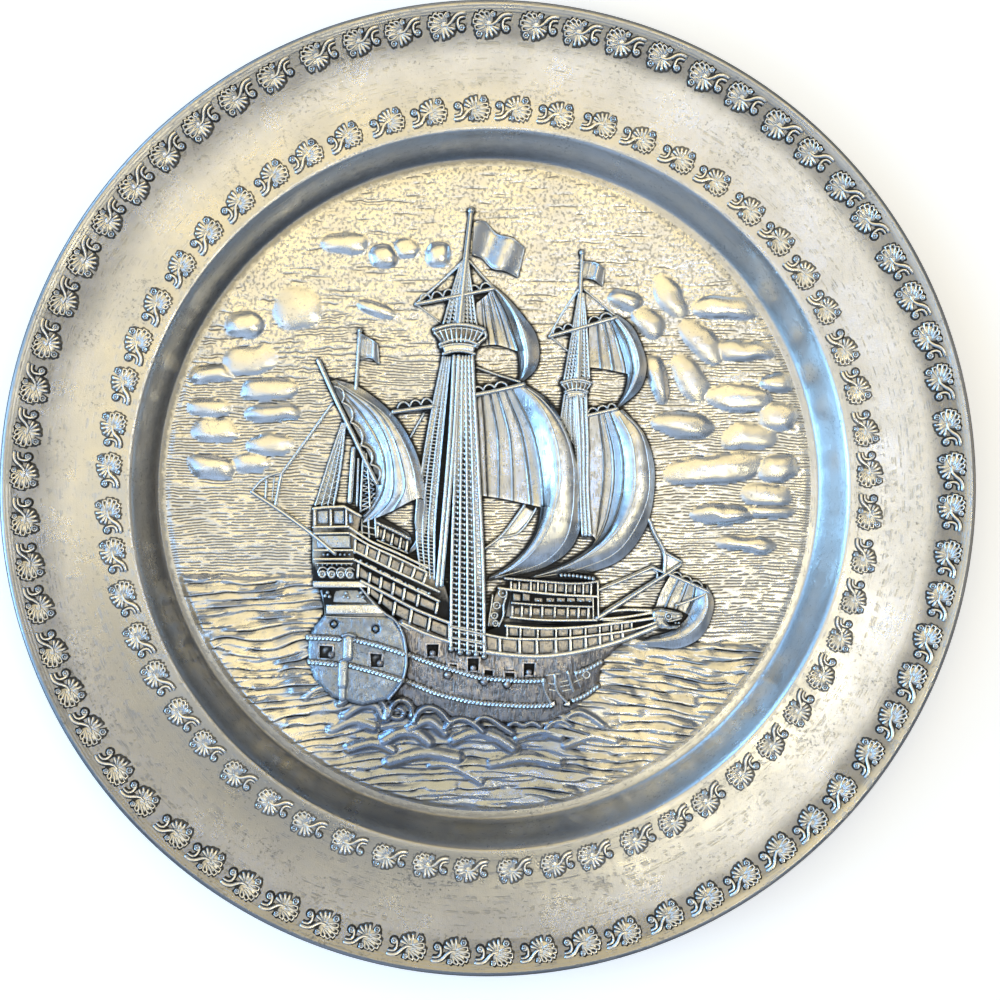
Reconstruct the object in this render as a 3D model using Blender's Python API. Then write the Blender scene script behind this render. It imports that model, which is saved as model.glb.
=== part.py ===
"""A cast pewter wall plate with a raised rim, two rings of stamped leaves and a galleon in relief.

The plate lies on its flat underside. The origin is the centre of that underside, +Z points out of
the face and +Y is the top of the picture. Sizes below are in millimetres and are scaled to metres
where a mesh is made. A place on the picture is (across, up) from the plate's axis.
"""

import bmesh
import bpy
import numpy as np
from math import cos, pi, radians, sin, sqrt

MM = 0.001

# The plate
PLATE_RADIUS = 140.0
THICKNESS = 2.0
FLOOR_RADIUS = 98.4
FLOOR_HEIGHT = 2.4
RIM_INNER_RADIUS = 104.6
RIM_INNER_HEIGHT = 15.4
RIM_OUTER_RADIUS = 137.4
RIM_RISE = 4.2
LIP_RADIUS = 1.3
LIP_CENTRE_RADIUS = PLATE_RADIUS - LIP_RADIUS
LIP_CENTRE_HEIGHT = RIM_INNER_HEIGHT + RIM_RISE
WALL_STEPS = 4
RIM_STEPS = 3
LIP_STEPS = 5
LIP_TURN = 1.25 * pi
SIDES = 64

# A leaf: how far its foot and tip lie from its middle, and the widths of its foot and shoulder,
# as shares of its length and width
LEAF_FOOT = 0.45
LEAF_TIP = 0.62
LEAF_FOOT_WIDTH = 0.45
LEAF_SHOULDER_WIDTH = 1.15

# The leaf rings: radius, how many, and which way the leaf tip points (1 is outwards)
OUTER_RING = (133.4, 66, 1)
INNER_RING = (110.6, 56, -1)
LEAF_WIDTH = 7.6
LEAF_LENGTH = 7.4
LEAF_HEIGHT = 1.2

# Relief: every raised solid starts this far below the floor, so that it joins the casting
ROOT = 0.9
DRAFT = 0.35

# Heights of the picture above the floor. A crown is how far a rounded top stands over its shoulder
HULL_HEIGHT = 4.2
HULL_CROWN = 0.9
TRANSOM_HEIGHT = 5.0
TRANSOM_CROWN = 0.6
BULWARK_HEIGHT = 4.5
QUARTERDECK_HEIGHT = 4.1
STERN_HEIGHT = 4.8
POOP_HEIGHT = 3.9
FORECASTLE_HEIGHT = 3.8
CHANNEL_WALE_HEIGHT = 4.7
BEAST_HEAD_HEIGHT = 4.4
BEAST_HEAD_CROWN = 0.4
RUDDER_HEIGHT = 6.6
OUTRIGGER_HEIGHT = 5.6
SAIL_EDGE_HEIGHT = 1.9
SHROUD_HEIGHT = 5.0
MAST_HEIGHT = 5.7
SPAR_HEIGHT = 4.3
ROPE_HEIGHT = 1.5
FLAG_HEIGHT = 2.1
CLOUD_HEIGHT = 1.5
WAVE_HEIGHT = 1.1

PEWTER_COLOUR = (0.52, 0.50, 0.46, 1.0)
PEWTER_ROUGHNESS = 0.38
PEWTER_METALLIC = 0.9

# Hull and castles: outline, then height
HULL = [
    (-30.0, -32.8), (-13.0, -41.0), (-1.2, -44.6), (14.5, -46.0), (28.0, -44.6), (47.0, -38.8),
    (47.6, -40.6), (39.0, -45.6), (33.9, -49.8), (32.6, -56.6), (30.3, -61.2), (21.6, -66.4), (9.0, -69.0),
    (-8.0, -69.0), (-24.0, -66.0), (-30.0, -61.0), (-25.2, -53.0), (-25.0, -46.5), (-26.6, -40.4),
]
TRANSOM_CENTRE = (-39.6, -49.0)
TRANSOM_RADIUS = 14.6
TRANSOM_SIDES = 20
BULWARK = [
    (-40.4, -19.4), (-15.1, -31.8), (-11.9, -39.0), (-1.4, -41.8), (13.6, -43.4), (23.5, -43.1),
    (48.3, -38.0), (49.2, -39.6), (37.1, -44.6), (28.0, -46.7), (14.5, -48.5), (-1.2, -47.3),
    (-12.4, -44.2), (-23.1, -40.2), (-30.2, -36.2), (-38.2, -27.8),
]
QUARTERDECK = [
    (-41.6, -10.4), (-35.9, -14.4), (-18.6, -23.4), (-15.3, -29.2), (-15.6, -32.4), (-40.6, -20.0),
]
STERN = [
    (-52.2, -10.4), (-41.8, -10.4), (-40.2, -17.0), (-38.2, -27.6), (-28.4, -37.2), (-48.6, -36.4),
    (-50.4, -28.6), (-52.2, -27.6),
]
POOP = [(-51.9, -4.6), (-42.8, -4.2), (-37.9, -6.9), (-40.6, -10.8), (-52.0, -10.8)]
FORECASTLE = [
    (3.7, -25.6), (29.5, -26.8), (31.3, -27.2), (31.4, -38.2), (4.0, -37.4), (6.0, -33.0),
    (1.9, -28.6),
]
CHANNEL_WALE = [
    (3.6, -38.6), (25.0, -39.6), (45.1, -37.2), (48.2, -37.0), (48.2, -38.6), (25.0, -41.0),
    (4.6, -40.2),
]

# Sails: the near edge, the crest and the far edge, each from the yard to the lowest corner,
# then the height in the middle of the sail and the height along its crest
SAILS = {
    "main_course": (
        [
            (-4.4, 27.4), (-4.0, 13.0), (-3.0, -1.0), (7.0, -2.6), (14.6, -6.0), (12.4, -13.0),
            (6.4, -20.2), (-0.4, -25.6),
        ],
        [
            (8.1, 30.2), (14.2, 24.9), (18.4, 16.6), (19.7, 6.0), (19.2, -3.0), (16.2, -13.0),
            (9.6, -20.8), (0.3, -25.9),
        ],
        [
            (9.6, 30.9), (18.2, 24.4), (23.6, 14.4), (26.2, 3.6), (26.2, -9.6), (21.6, -18.4),
            (11.8, -23.3), (0.8, -26.3),
        ],
        3.1, 5.8,
    ),
    "fore_course": (
        [
            (29.4, 22.0), (29.8, 12.0), (29.9, 0.0), (30.0, -12.0), (31.6, -14.0), (27.0, -19.0),
            (18.0, -23.2), (10.6, -25.4),
        ],
        [
            (36.8, 23.0), (40.6, 16.4), (42.3, 8.6), (42.2, 1.0), (40.4, -5.4), (35.0, -15.4),
            (24.0, -22.6), (11.6, -25.6),
        ],
        [
            (38.6, 23.9), (43.9, 18.2), (47.0, 10.9), (48.0, 2.0), (46.6, -6.4), (41.0, -17.6),
            (31.0, -23.8), (12.6, -26.0),
        ],
        2.6, 4.9,
    ),
    "main_topsail": (
        [(-4.0, 57.4), (-3.6, 50.0), (-2.4, 42.8), (3.4, 42.4), (8.0, 39.6), (8.3, 36.0), (8.3, 32.6)],
        [(1.4, 58.4), (6.6, 52.4), (9.2, 46.6), (10.1, 41.6), (10.1, 37.8), (9.7, 34.6), (8.8, 32.2)],
        [(2.6, 59.4), (8.8, 52.4), (12.6, 46.8), (14.1, 40.8), (13.8, 36.6), (12.3, 33.0), (9.6, 31.4)],
        2.5, 4.6,
    ),
    "fore_topsail": (
        [(29.6, 49.2), (29.0, 43.0), (28.8, 36.6), (34.6, 35.6), (40.2, 32.6), (39.4, 28.6), (37.1, 24.8)],
        [(36.4, 51.0), (40.0, 46.6), (42.4, 41.6), (43.5, 37.0), (43.0, 33.0), (41.2, 29.2), (37.6, 24.6)],
        [(37.1, 52.4), (41.6, 48.2), (44.6, 42.0), (45.8, 36.4), (45.0, 32.0), (42.8, 28.0), (38.2, 24.2)],
        2.2, 4.1,
    ),
    "mizzen_sail": (
        [
            (-46.4, 30.4), (-39.0, 20.0), (-33.4, 8.0), (-33.6, -2.0), (-38.4, -8.6), (-33.4, -7.2),
            (-25.2, -6.9), (-22.2, -10.0), (-22.4, -14.6), (-24.6, -18.4),
        ],
        [
            (-44.8, 31.0), (-37.4, 24.6), (-30.6, 14.0), (-28.4, 5.0), (-28.6, -4.0), (-27.0, -5.6),
            (-22.8, -6.4), (-21.0, -10.2), (-21.4, -14.6), (-24.2, -18.7),
        ],
        [
            (-44.0, 31.8), (-34.0, 27.2), (-26.4, 19.4), (-22.4, 12.0), (-20.0, 4.0), (-19.0, -3.0),
            (-18.8, -8.0), (-19.2, -12.0), (-21.0, -16.0), (-24.0, -19.0),
        ],
        2.4, 5.0,
    ),
    "spritsail": (
        [(53.6, -25.4), (52.8, -30.0), (52.4, -35.0), (54.6, -40.6), (50.0, -43.6), (42.4, -44.8)],
        [(62.4, -28.6), (64.1, -31.8), (62.6, -37.4), (58.0, -42.4), (51.4, -44.8), (42.0, -45.3)],
        [(63.6, -26.0), (66.2, -31.6), (65.0, -39.4), (59.9, -45.4), (52.0, -46.6), (41.8, -45.8)],
        2.0, 3.8,
    ),
}
SAIL_STATIONS = 7

# Shroud bands: left foot, left head, right head, right foot, then height
SHROUDS = [
    ((-12.2, -47.0), (-8.9, 39.8), (-5.7, 39.8), (-2.0, -47.4), SHROUD_HEIGHT),
    ((-19.4, -22.0), (-14.4, 39.8), (-11.7, 39.8), (-15.2, -24.0), SHROUD_HEIGHT - 0.4),
    ((-14.2, 49.0), (-8.9, 66.0), (-8.0, 66.0), (-10.6, 49.0), 3.1),
    ((-8.4, 49.0), (-7.6, 66.0), (-6.6, 66.0), (-4.4, 49.0), 3.3),
    ((-51.2, -4.4), (-44.4, 20.4), (-42.0, 20.0), (-46.2, -4.2), 2.7),
    ((-38.6, -7.0), (-38.2, 12.4), (-37.0, 12.4), (-35.6, -8.0), 2.9),
    ((21.0, 33.0), (25.2, 58.6), (26.2, 58.6), (28.8, 33.0), 3.2),
    ((22.2, 11.0), (22.6, 28.6), (27.6, 28.6), (29.2, -14.0), 3.7),
]

# Round spars and ropes: the places they run through, width at each end, height
SPARS = [
    ([(-10.3, 40.0), (-11.6, 19.9), (-15.2, -28.0)], 2.2, 2.8, MAST_HEIGHT),
    ([(-9.4, 48.0), (-5.9, 81.4)], 2.3, 1.7, 3.9),
    ([(24.6, 27.0), (26.0, 40.0), (26.5, 69.0)], 2.0, 1.5, 3.9),
    ([(-50.2, 37.6), (-33.6, 2.8)], 1.5, 1.3, SPAR_HEIGHT + 1.2),
    ([(-38.3, 46.2), (-39.4, 30.2)], 1.3, 1.3, 3.1),
    ([(-40.2, 14.4), (-40.9, -4.4)], 1.8, 2.0, 2.9),
    ([(-21.6, 54.8), (0.9, 58.8)], 1.2, 1.4, 4.9),
    ([(-28.6, 23.3), (8.4, 31.0)], 1.3, 1.4, SHROUD_HEIGHT - 0.2),
    ([(17.4, 45.3), (36.6, 50.6)], 1.2, 1.3, SPAR_HEIGHT),
    ([(27.8, 22.1), (37.4, 24.0)], 1.3, 1.3, SPAR_HEIGHT + 0.4),
    ([(31.0, -37.8), (50.3, -25.5), (56.2, -21.7)], 2.0, 1.4, 2.6),
    ([(52.4, -24.6), (64.0, -29.8)], 1.2, 1.2, 3.9),
    ([(31.0, -29.5), (47.8, -22.6), (51.8, -24.4)], 1.1, 1.1, ROPE_HEIGHT),
    ([(46.6, -8.2), (51.3, -17.8), (51.4, -24.0)], 1.0, 1.2, ROPE_HEIGHT + 0.2),
    ([(-45.2, 26.4), (-61.2, 5.4)], 1.2, 1.2, ROPE_HEIGHT + 0.1),
    ([(-61.0, 5.3), (-64.6, 4.4), (-69.8, 0.2)], 1.1, 1.1, ROPE_HEIGHT + 0.3),
    ([(-69.9, 0.0), (-45.6, -18.0)], 1.2, 1.6, OUTRIGGER_HEIGHT),
    ([(-61.2, 5.6), (-63.3, -4.6)], 1.2, 1.2, ROPE_HEIGHT + 0.2),
    ([(-8.0, 67.2), (-21.4, 55.4)], 0.9, 0.9, ROPE_HEIGHT),
    ([(-6.0, 67.2), (0.8, 59.3)], 0.9, 0.9, ROPE_HEIGHT + 0.2),
    ([(25.3, 59.1), (17.6, 45.8)], 0.9, 0.9, ROPE_HEIGHT),
    ([(27.4, 59.0), (36.6, 51.2)], 0.9, 0.9, ROPE_HEIGHT + 0.2),
    ([(-43.6, -41.8), (-44.6, -60.6)], 3.4, 3.4, RUDDER_HEIGHT),
]

# Fighting tops: rim centre, rim half width, foot half width, depth, height
TOPS = [
    ((-9.4, 47.2), 7.6, 4.7, 7.0, 6.4),
    ((24.8, 32.2), 4.7, 3.1, 3.9, 5.0),
]

TOP_STATIONS = 7
TOP_BOW = 1.5
TOP_WAIST = 0.65
TOP_END_SHARE = 0.45
TOP_FOOT_SHARE = 0.8

# Flags: the hoist and the free edge, top and bottom
FLAGS = [
    [
        (-5.4, 78.2), (-2.7, 78.6), (1.9, 74.5), (6.2, 73.5), (9.6, 71.2), (7.7, 63.0), (4.1, 64.8),
        (0.9, 65.2), (-3.1, 68.7), (-6.2, 69.4),
    ],
    [(26.9, 66.9), (29.8, 66.9), (33.2, 64.9), (32.7, 60.6), (29.6, 62.2), (26.9, 62.5)],
    [(-38.0, 45.4), (-33.3, 42.6), (-32.9, 37.5), (-38.6, 38.7)],
]
BEAST_HEAD = [
    (47.6, -36.0), (51.0, -35.0), (56.4, -36.2), (53.8, -37.9), (55.8, -39.6), (51.0, -40.6),
    (48.0, -39.6),
]

# Clouds: centre, length, width, turn in degrees
CLOUDS = [
    ((-42.5, 72.3), 12, 6, -8), ((-31.7, 68.6), 8, 6, 0), ((-15.3, 69.5), 7, 5, 80),
    ((-33.6, 53.4), 11, 4, -22), ((-56.2, 53.5), 13, 9, 20), ((-71.7, 48.0), 11, 7, 0),
    ((-70.3, 38.5), 15, 8, -4), ((-82.5, 34.2), 12, 5, 0), ((-64.6, 29.9), 14, 6, -12),
    ((-82.0, 24.3), 11, 5, 0), ((-63.7, 22.6), 15, 5, 10), ((-80.7, 16.8), 12, 7, -6),
    ((-64.6, 13.5), 13, 6, 0), ((-82.6, 7.4), 13, 6, -24), ((-70.3, 8.8), 11, 5, 0),
    ((39.5, 56.6), 8, 6, -40), ((46.8, 49.4), 10, 7, -55), ((53.6, 55.6), 13, 8, -60),
    ((69.6, 53.5), 18, 7, 8), ((61.6, 44.1), 16, 8, -60), ((75.3, 41.3), 16, 6, -6),
    ((50.0, 33.4), 13, 5, 80), ((58.9, 32.9), 16, 8, -70), ((84.4, 31.9), 9, 5, 0),
    ((73.5, 27.2), 16, 8, -4), ((85.6, 22.0), 9, 7, 0), ((57.0, 19.6), 16, 7, 0),
    ((76.3, 15.9), 15, 7, -4), ((64.6, 7.6), 25, 7, -12), ((86.0, 6.5), 10, 7, 0),
    ((82.9, -2.6), 14, 7, -28), ((68.7, -6.9), 16, 6, -14), ((77.2, -15.9), 15, 5, -6),
]
CLOUD_SIDES = 6
CLOUD_SHOULDER = 0.92
CLOUD_CROWN = 0.55

# The sea: rows of waves left of the hull, right of it and below it
WAVE_FIELD_RADIUS = 94.0
WAVE_SWELL = 1.2
WAVE_LENGTH = 26.0
WAVE_WIDTH = 2.2
WAVE_STATION = 9.0
LEFT_WAVES = (-28.0, -60.0, 5.4)
RIGHT_WAVES = (-50.0, -66.0, 5.4)
LOW_WAVES = (-75.0, -91.0, 5.2)
LEFT_WAVES_END = -55.6
RIGHT_WAVES_START = 36.5

# Curling crests at the foot of the hull: centre, radius
CURLS = [
    ((-47.0, -62.4), 4.6), ((-37.6, -64.6), 5.4), ((-25.8, -66.0), 4.4), ((-17.6, -69.0), 5.0),
    ((-8.4, -71.2), 4.8), ((4.2, -72.6), 4.6), ((16.4, -72.0), 4.8), ((26.4, -69.6), 4.8),
]
CURL_START = 200
CURL_END = 20
CURL_STATIONS = 6
CURL_WIDTH = 2.2
CURL_HEIGHT = 2.6


def clear_scene():
    for thing in list(bpy.data.objects):
        bpy.data.objects.remove(thing, do_unlink=True)


def pewter():
    material = bpy.data.materials.new("pewter")
    material.use_nodes = True
    shader = material.node_tree.nodes["Principled BSDF"]
    shader.inputs["Base Color"].default_value = PEWTER_COLOUR
    shader.inputs["Roughness"].default_value = PEWTER_ROUGHNESS
    shader.inputs["Metallic"].default_value = PEWTER_METALLIC
    return material


def mesh_object(name, points, faces, collection):
    """A closed mesh of the points, given in millimetres, with its faces made triangles facing out."""
    mesh = bpy.data.meshes.new(name)
    build = bmesh.new()
    corners = [build.verts.new([value * MM for value in point]) for point in points]
    for face in faces:
        build.faces.new([corners[index] for index in face])
    bmesh.ops.triangulate(build, faces=build.faces)
    bmesh.ops.recalc_face_normals(build, faces=build.faces)
    build.to_mesh(mesh)
    build.free()
    thing = bpy.data.objects.new(name, mesh)
    collection.objects.link(thing)
    return thing


def along(points, count):
    """As many places as count, evenly spaced on a smooth curve through the points."""
    points = np.array(points, float)
    knots = np.concatenate([[0], np.cumsum(np.linalg.norm(np.diff(points, axis=0), axis=1))])
    slopes = np.gradient(points, knots, axis=0)
    fine = np.linspace(0, knots[-1], 40 * len(points))
    span = np.clip(np.searchsorted(knots, fine, side="right") - 1, 0, len(knots) - 2)
    width = (knots[span + 1] - knots[span])[:, None]
    t = (fine - knots[span])[:, None] / width
    curve = (
        (2 * t**3 - 3 * t**2 + 1) * points[span]
        + (t**3 - 2 * t**2 + t) * width * slopes[span]
        + (3 * t**2 - 2 * t**3) * points[span + 1]
        + (t**3 - t**2) * width * slopes[span + 1]
    )
    length = np.concatenate([[0], np.cumsum(np.linalg.norm(np.diff(curve, axis=0), axis=1))])
    wanted = np.linspace(0, length[-1], count)
    return np.column_stack([np.interp(wanted, length, curve[:, axis]) for axis in (0, 1)])


def loft(name, sections, collection):
    """A closed solid through sections that all have the same number of points."""
    size = len(sections[0])
    points = [point for section in sections for point in section]
    faces = [list(range(size)), list(range(len(points) - size, len(points)))]
    for first in range(0, len(points) - size, size):
        for corner in range(size):
            after = (corner + 1) % size
            faces.append([first + corner, first + after, first + size + after, first + size + corner])
    return mesh_object(name, points, faces, collection)


def inset(outline, distance):
    """The outline moved inwards by the distance, with mitred corners."""
    points = np.array(outline, float)
    area = np.sum(points[:, 0] * np.roll(points[:, 1], -1) - points[:, 1] * np.roll(points[:, 0], -1))
    before = points - np.roll(points, 1, axis=0)
    after = np.roll(points, -1, axis=0) - points
    before /= np.linalg.norm(before, axis=1)[:, None]
    after /= np.linalg.norm(after, axis=1)[:, None]
    left = np.column_stack([-before[:, 1] - after[:, 1], before[:, 0] + after[:, 0]])
    left /= np.maximum(1 + np.sum(before * after, axis=1), 0.5)[:, None]
    return points + left * distance * np.sign(area)


def level(outline, height):
    return [(across, up, height) for across, up in outline]


def slab(name, outline, height, collection, crown=0.0):
    """A raised panel with drafted sides. A crown insets a second, higher face."""
    rings = [
        level(outline, FLOOR_HEIGHT - ROOT),
        level(inset(outline, DRAFT), FLOOR_HEIGHT + height - crown),
    ]
    if crown:
        rings.append(level(inset(outline, DRAFT + 2 * crown), FLOOR_HEIGHT + height))
    return loft(name, rings, collection)


def spar(name, points, start_width, end_width, height, collection):
    """A half-round bar along a few places, five-sided in section."""
    points = np.array(points, float)
    slopes = np.gradient(points, axis=0)
    slopes /= np.linalg.norm(slopes, axis=1)[:, None]
    widths = np.linspace(start_width, end_width, len(points))
    sections = []
    for place, slope, width in zip(points, slopes, widths):
        side = np.array([-slope[1], slope[0]]) * width / 2
        shape = [
            (-1, -ROOT), (-1, height - 0.35 * width), (0, height), (1, height - 0.35 * width),
            (1, -ROOT),
        ]
        sections.append([(*(place + side * out), FLOOR_HEIGHT + rise) for out, rise in shape])
    return loft(name, sections, collection)


def sail(name, near, crest, far, belly, height, collection):
    """A filled sail: a belly that rises to its crest and falls to its far edge."""
    rails = [along(rail, SAIL_STATIONS) for rail in (near, crest, far)]
    rise = np.sin(np.linspace(0.25 * pi, pi, SAIL_STATIONS)) ** 0.5
    sections = []
    for station in range(SAIL_STATIONS):
        inner, ridge, outer = (rail[station] for rail in rails)
        middle = inner + 0.6 * (ridge - inner)
        full = max(rise[station], 0.4)
        top = FLOOR_HEIGHT + height * full
        sections.append([
            (*inner, FLOOR_HEIGHT - ROOT),
            (*inner, FLOOR_HEIGHT + max(belly * full, SAIL_EDGE_HEIGHT * 0.6)),
            (*middle, FLOOR_HEIGHT + belly * full + 0.4),
            (*ridge, top),
            (*outer, FLOOR_HEIGHT + SAIL_EDGE_HEIGHT * full),
            (*outer, FLOOR_HEIGHT - ROOT),
        ])
    return loft(name, sections, collection)


def fighting_top(name, rim, rim_half, foot_half, depth, height, collection):
    """A round top seen from below: a flared bowl that stands out from the mast."""
    across, up = rim
    sections = []
    for turn in np.linspace(0, pi, TOP_STATIONS):
        rim_across = across - rim_half * cos(turn)
        foot_across = across - foot_half * cos(turn)
        bow = TOP_BOW * sin(turn)
        waist_up = up + 0.7 * bow - TOP_WAIST * depth
        foot_up = up + 0.5 * bow - depth
        rim_top = FLOOR_HEIGHT + height * (TOP_END_SHARE + (1 - TOP_END_SHARE) * sin(turn))
        foot_top = FLOOR_HEIGHT + TOP_FOOT_SHARE * (rim_top - FLOOR_HEIGHT)
        sections.append([
            (rim_across, up + bow, FLOOR_HEIGHT - ROOT),
            (rim_across, up + bow, rim_top),
            (foot_across, waist_up, foot_top),
            (foot_across, foot_up, foot_top),
            (foot_across, foot_up, FLOOR_HEIGHT - ROOT),
        ])
    return loft(name, sections, collection)


def mound(name, centre, length, width, turn, height, collection):
    """A low rounded hump, such as a cloud."""
    along_x, along_y = cos(radians(turn)), sin(radians(turn))
    rings = []
    for size, rise in ((1.0, -ROOT), (CLOUD_SHOULDER, 0.0), (CLOUD_CROWN, 0.85 * height)):
        ring = []
        for side in range(CLOUD_SIDES):
            angle = 2 * pi * side / CLOUD_SIDES
            out = size * length / 2 * cos(angle)
            over = size * width / 2 * sin(angle)
            ring.append((
                centre[0] + out * along_x - over * along_y,
                centre[1] + out * along_y + over * along_x,
                FLOOR_HEIGHT + rise,
            ))
        rings.append(ring)
    return loft(name, rings, collection)


def wave(name, start, end, up, collection):
    """One wave row: a band that swells up and down along its length and thins out at its ends."""
    count = max(4, round((end - start) / WAVE_STATION))
    sections = []
    for step, across in enumerate(np.linspace(start, end, count)):
        crest = up + WAVE_SWELL * sin(2 * pi * across / WAVE_LENGTH + up)
        width = WAVE_WIDTH * (0.3 if step in (0, count - 1) else 0.5)
        sections.append([
            (across, crest - width, FLOOR_HEIGHT - ROOT),
            (across, crest - 0.4 * width, FLOOR_HEIGHT + WAVE_HEIGHT),
            (across, crest + width, FLOOR_HEIGHT - ROOT),
        ])
    return loft(name, sections, collection)


def curl(name, centre, radius, collection):
    """A breaking crest: a band bent over an arc that thins to its ends."""
    sections = []
    for turn in np.linspace(radians(CURL_START), radians(CURL_END), CURL_STATIONS):
        slope = np.array([cos(turn), sin(turn)])
        place = np.array(centre) + slope * radius
        width = 0.25 * CURL_WIDTH * (1 + sin(turn - radians(CURL_END)))
        sections.append([
            (*(place - slope * width), FLOOR_HEIGHT - ROOT),
            (*(place - slope * width * 0.3), FLOOR_HEIGHT + CURL_HEIGHT),
            (*(place + slope * width), FLOOR_HEIGHT - ROOT),
        ])
    return loft(name, sections, collection)


def face_profile():
    """The face of the plate from the axis to the top of the lip, as (radius, height)."""
    profile = [(0.0, FLOOR_HEIGHT), (FLOOR_RADIUS, FLOOR_HEIGHT)]
    for step in range(1, WALL_STEPS):
        part = step / WALL_STEPS
        radius = FLOOR_RADIUS + (RIM_INNER_RADIUS - FLOOR_RADIUS) * part
        rise = 0.5 - 0.5 * cos(pi * part)
        profile.append((radius, FLOOR_HEIGHT + (RIM_INNER_HEIGHT - FLOOR_HEIGHT) * rise))
    for step in range(RIM_STEPS + 1):
        part = step / RIM_STEPS
        radius = RIM_INNER_RADIUS + (RIM_OUTER_RADIUS - RIM_INNER_RADIUS) * part
        profile.append((radius, rim_height(radius)))
    for step in range(1, LIP_STEPS + 1):
        turn = pi - LIP_TURN * step / LIP_STEPS
        height = LIP_CENTRE_HEIGHT + LIP_RADIUS * sin(turn)
        profile.append((LIP_CENTRE_RADIUS + LIP_RADIUS * cos(turn), height))
    return profile


def rim_height(radius):
    part = (radius - RIM_INNER_RADIUS) / (RIM_OUTER_RADIUS - RIM_INNER_RADIUS)
    return RIM_INNER_HEIGHT + RIM_RISE * part**2


def back_profile(face):
    """The back of the plate from the lip to the axis: the face moved in by the wall's thickness."""
    shell = np.array([point for point in face if FLOOR_RADIUS < point[0] <= RIM_OUTER_RADIUS + 0.01])
    slopes = np.gradient(shell, axis=0)
    slopes /= np.linalg.norm(slopes, axis=1)[:, None]
    back = shell + THICKNESS * np.column_stack([slopes[:, 1], -slopes[:, 0]])
    kept = [tuple(point) for point in back[::-1] if point[1] > THICKNESS]
    return kept + [(FLOOR_RADIUS + 0.6, 0.0), (0.0, 0.0)]


def turned_body():
    """The plate without its relief, turned about the axis."""
    face = face_profile()
    profile = face + back_profile(face)
    build = bmesh.new()
    corners = [build.verts.new((radius * MM, 0, height * MM)) for radius, height in profile]
    edges = [build.edges.new(pair) for pair in zip(corners, corners[1:])]
    bmesh.ops.spin(
        build, geom=corners + edges, cent=(0, 0, 0), axis=(0, 0, 1), angle=2 * pi, steps=SIDES, use_merge=True
    )
    bmesh.ops.remove_doubles(build, verts=build.verts, dist=1e-6)
    bmesh.ops.recalc_face_normals(build, faces=build.faces)
    mesh = bpy.data.meshes.new("pewter_plate")
    build.to_mesh(mesh)
    build.free()
    mesh.materials.append(pewter())
    plate = bpy.data.objects.new("pewter_plate", mesh)
    bpy.context.scene.collection.objects.link(plate)
    return plate


def rim_boss(points, faces, radius, angle, outline, height):
    """Adds a pointed boss to the lists. Its outline is (around, outwards) from its middle on the rim."""
    first = len(points)
    for around, outwards in outline + [(0.0, 0.0)]:
        distance = radius + outwards
        turn = angle + around / distance
        top = height if (around, outwards) == (0.0, 0.0) else -ROOT
        points.append((distance * cos(turn), distance * sin(turn), rim_height(distance) + top))
    size = len(outline)
    faces.append([first + corner for corner in range(size)])
    for corner in range(size):
        faces.append([first + corner, first + (corner + 1) % size, first + size])


def leaf_ring(name, ring, collection):
    """A ring of leaves, as closed bosses sunk into the rim."""
    radius, count, outwards = ring
    half = LEAF_WIDTH / 2
    low = -LEAF_FOOT * LEAF_LENGTH * outwards
    high = LEAF_TIP * LEAF_LENGTH * outwards
    foot, shoulder = LEAF_FOOT_WIDTH * half, LEAF_SHOULDER_WIDTH * half
    leaf = [(-foot, low), (foot, low), (shoulder, 0.3 * high), (0.0, high), (-shoulder, 0.3 * high)]
    points, faces = [], []
    for step in range(count):
        rim_boss(points, faces, radius, 2 * pi * step / count, leaf, LEAF_HEIGHT)
    return mesh_object(name, points, faces, collection)


def add_sea(collection):
    for number, up in enumerate(np.arange(LEFT_WAVES[0], LEFT_WAVES[1], -LEFT_WAVES[2])):
        start = -sqrt(WAVE_FIELD_RADIUS**2 - up**2)
        wave(f"left_wave_{number}", start, LEFT_WAVES_END, up, collection)
    for number, up in enumerate(np.arange(RIGHT_WAVES[0], RIGHT_WAVES[1], -RIGHT_WAVES[2])):
        end = sqrt(WAVE_FIELD_RADIUS**2 - up**2)
        wave(f"right_wave_{number}", RIGHT_WAVES_START, end, up, collection)
    for number, up in enumerate(np.arange(LOW_WAVES[0], LOW_WAVES[1], -LOW_WAVES[2])):
        reach = sqrt(WAVE_FIELD_RADIUS**2 - up**2)
        wave(f"low_wave_{number}", -reach, reach, up, collection)
    for number, (centre, radius) in enumerate(CURLS):
        curl(f"curl_{number}", centre, radius, collection)


def add_hull(collection):
    turns = np.linspace(0, 2 * pi, TRANSOM_SIDES, endpoint=False)
    middle_across, middle_up = TRANSOM_CENTRE
    transom = [
        (middle_across + TRANSOM_RADIUS * cos(turn), middle_up + TRANSOM_RADIUS * sin(turn))
        for turn in turns
    ]
    slab("hull", HULL, HULL_HEIGHT, collection, crown=HULL_CROWN)
    slab("transom", transom, TRANSOM_HEIGHT, collection, crown=TRANSOM_CROWN)
    slab("bulwark", BULWARK, BULWARK_HEIGHT, collection)
    slab("quarterdeck", QUARTERDECK, QUARTERDECK_HEIGHT, collection)
    slab("stern", STERN, STERN_HEIGHT, collection)
    slab("poop", POOP, POOP_HEIGHT, collection)
    slab("forecastle", FORECASTLE, FORECASTLE_HEIGHT, collection)
    slab("channel_wale", CHANNEL_WALE, CHANNEL_WALE_HEIGHT, collection)
    slab("beast_head", BEAST_HEAD, BEAST_HEAD_HEIGHT, collection, crown=BEAST_HEAD_CROWN)


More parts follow.
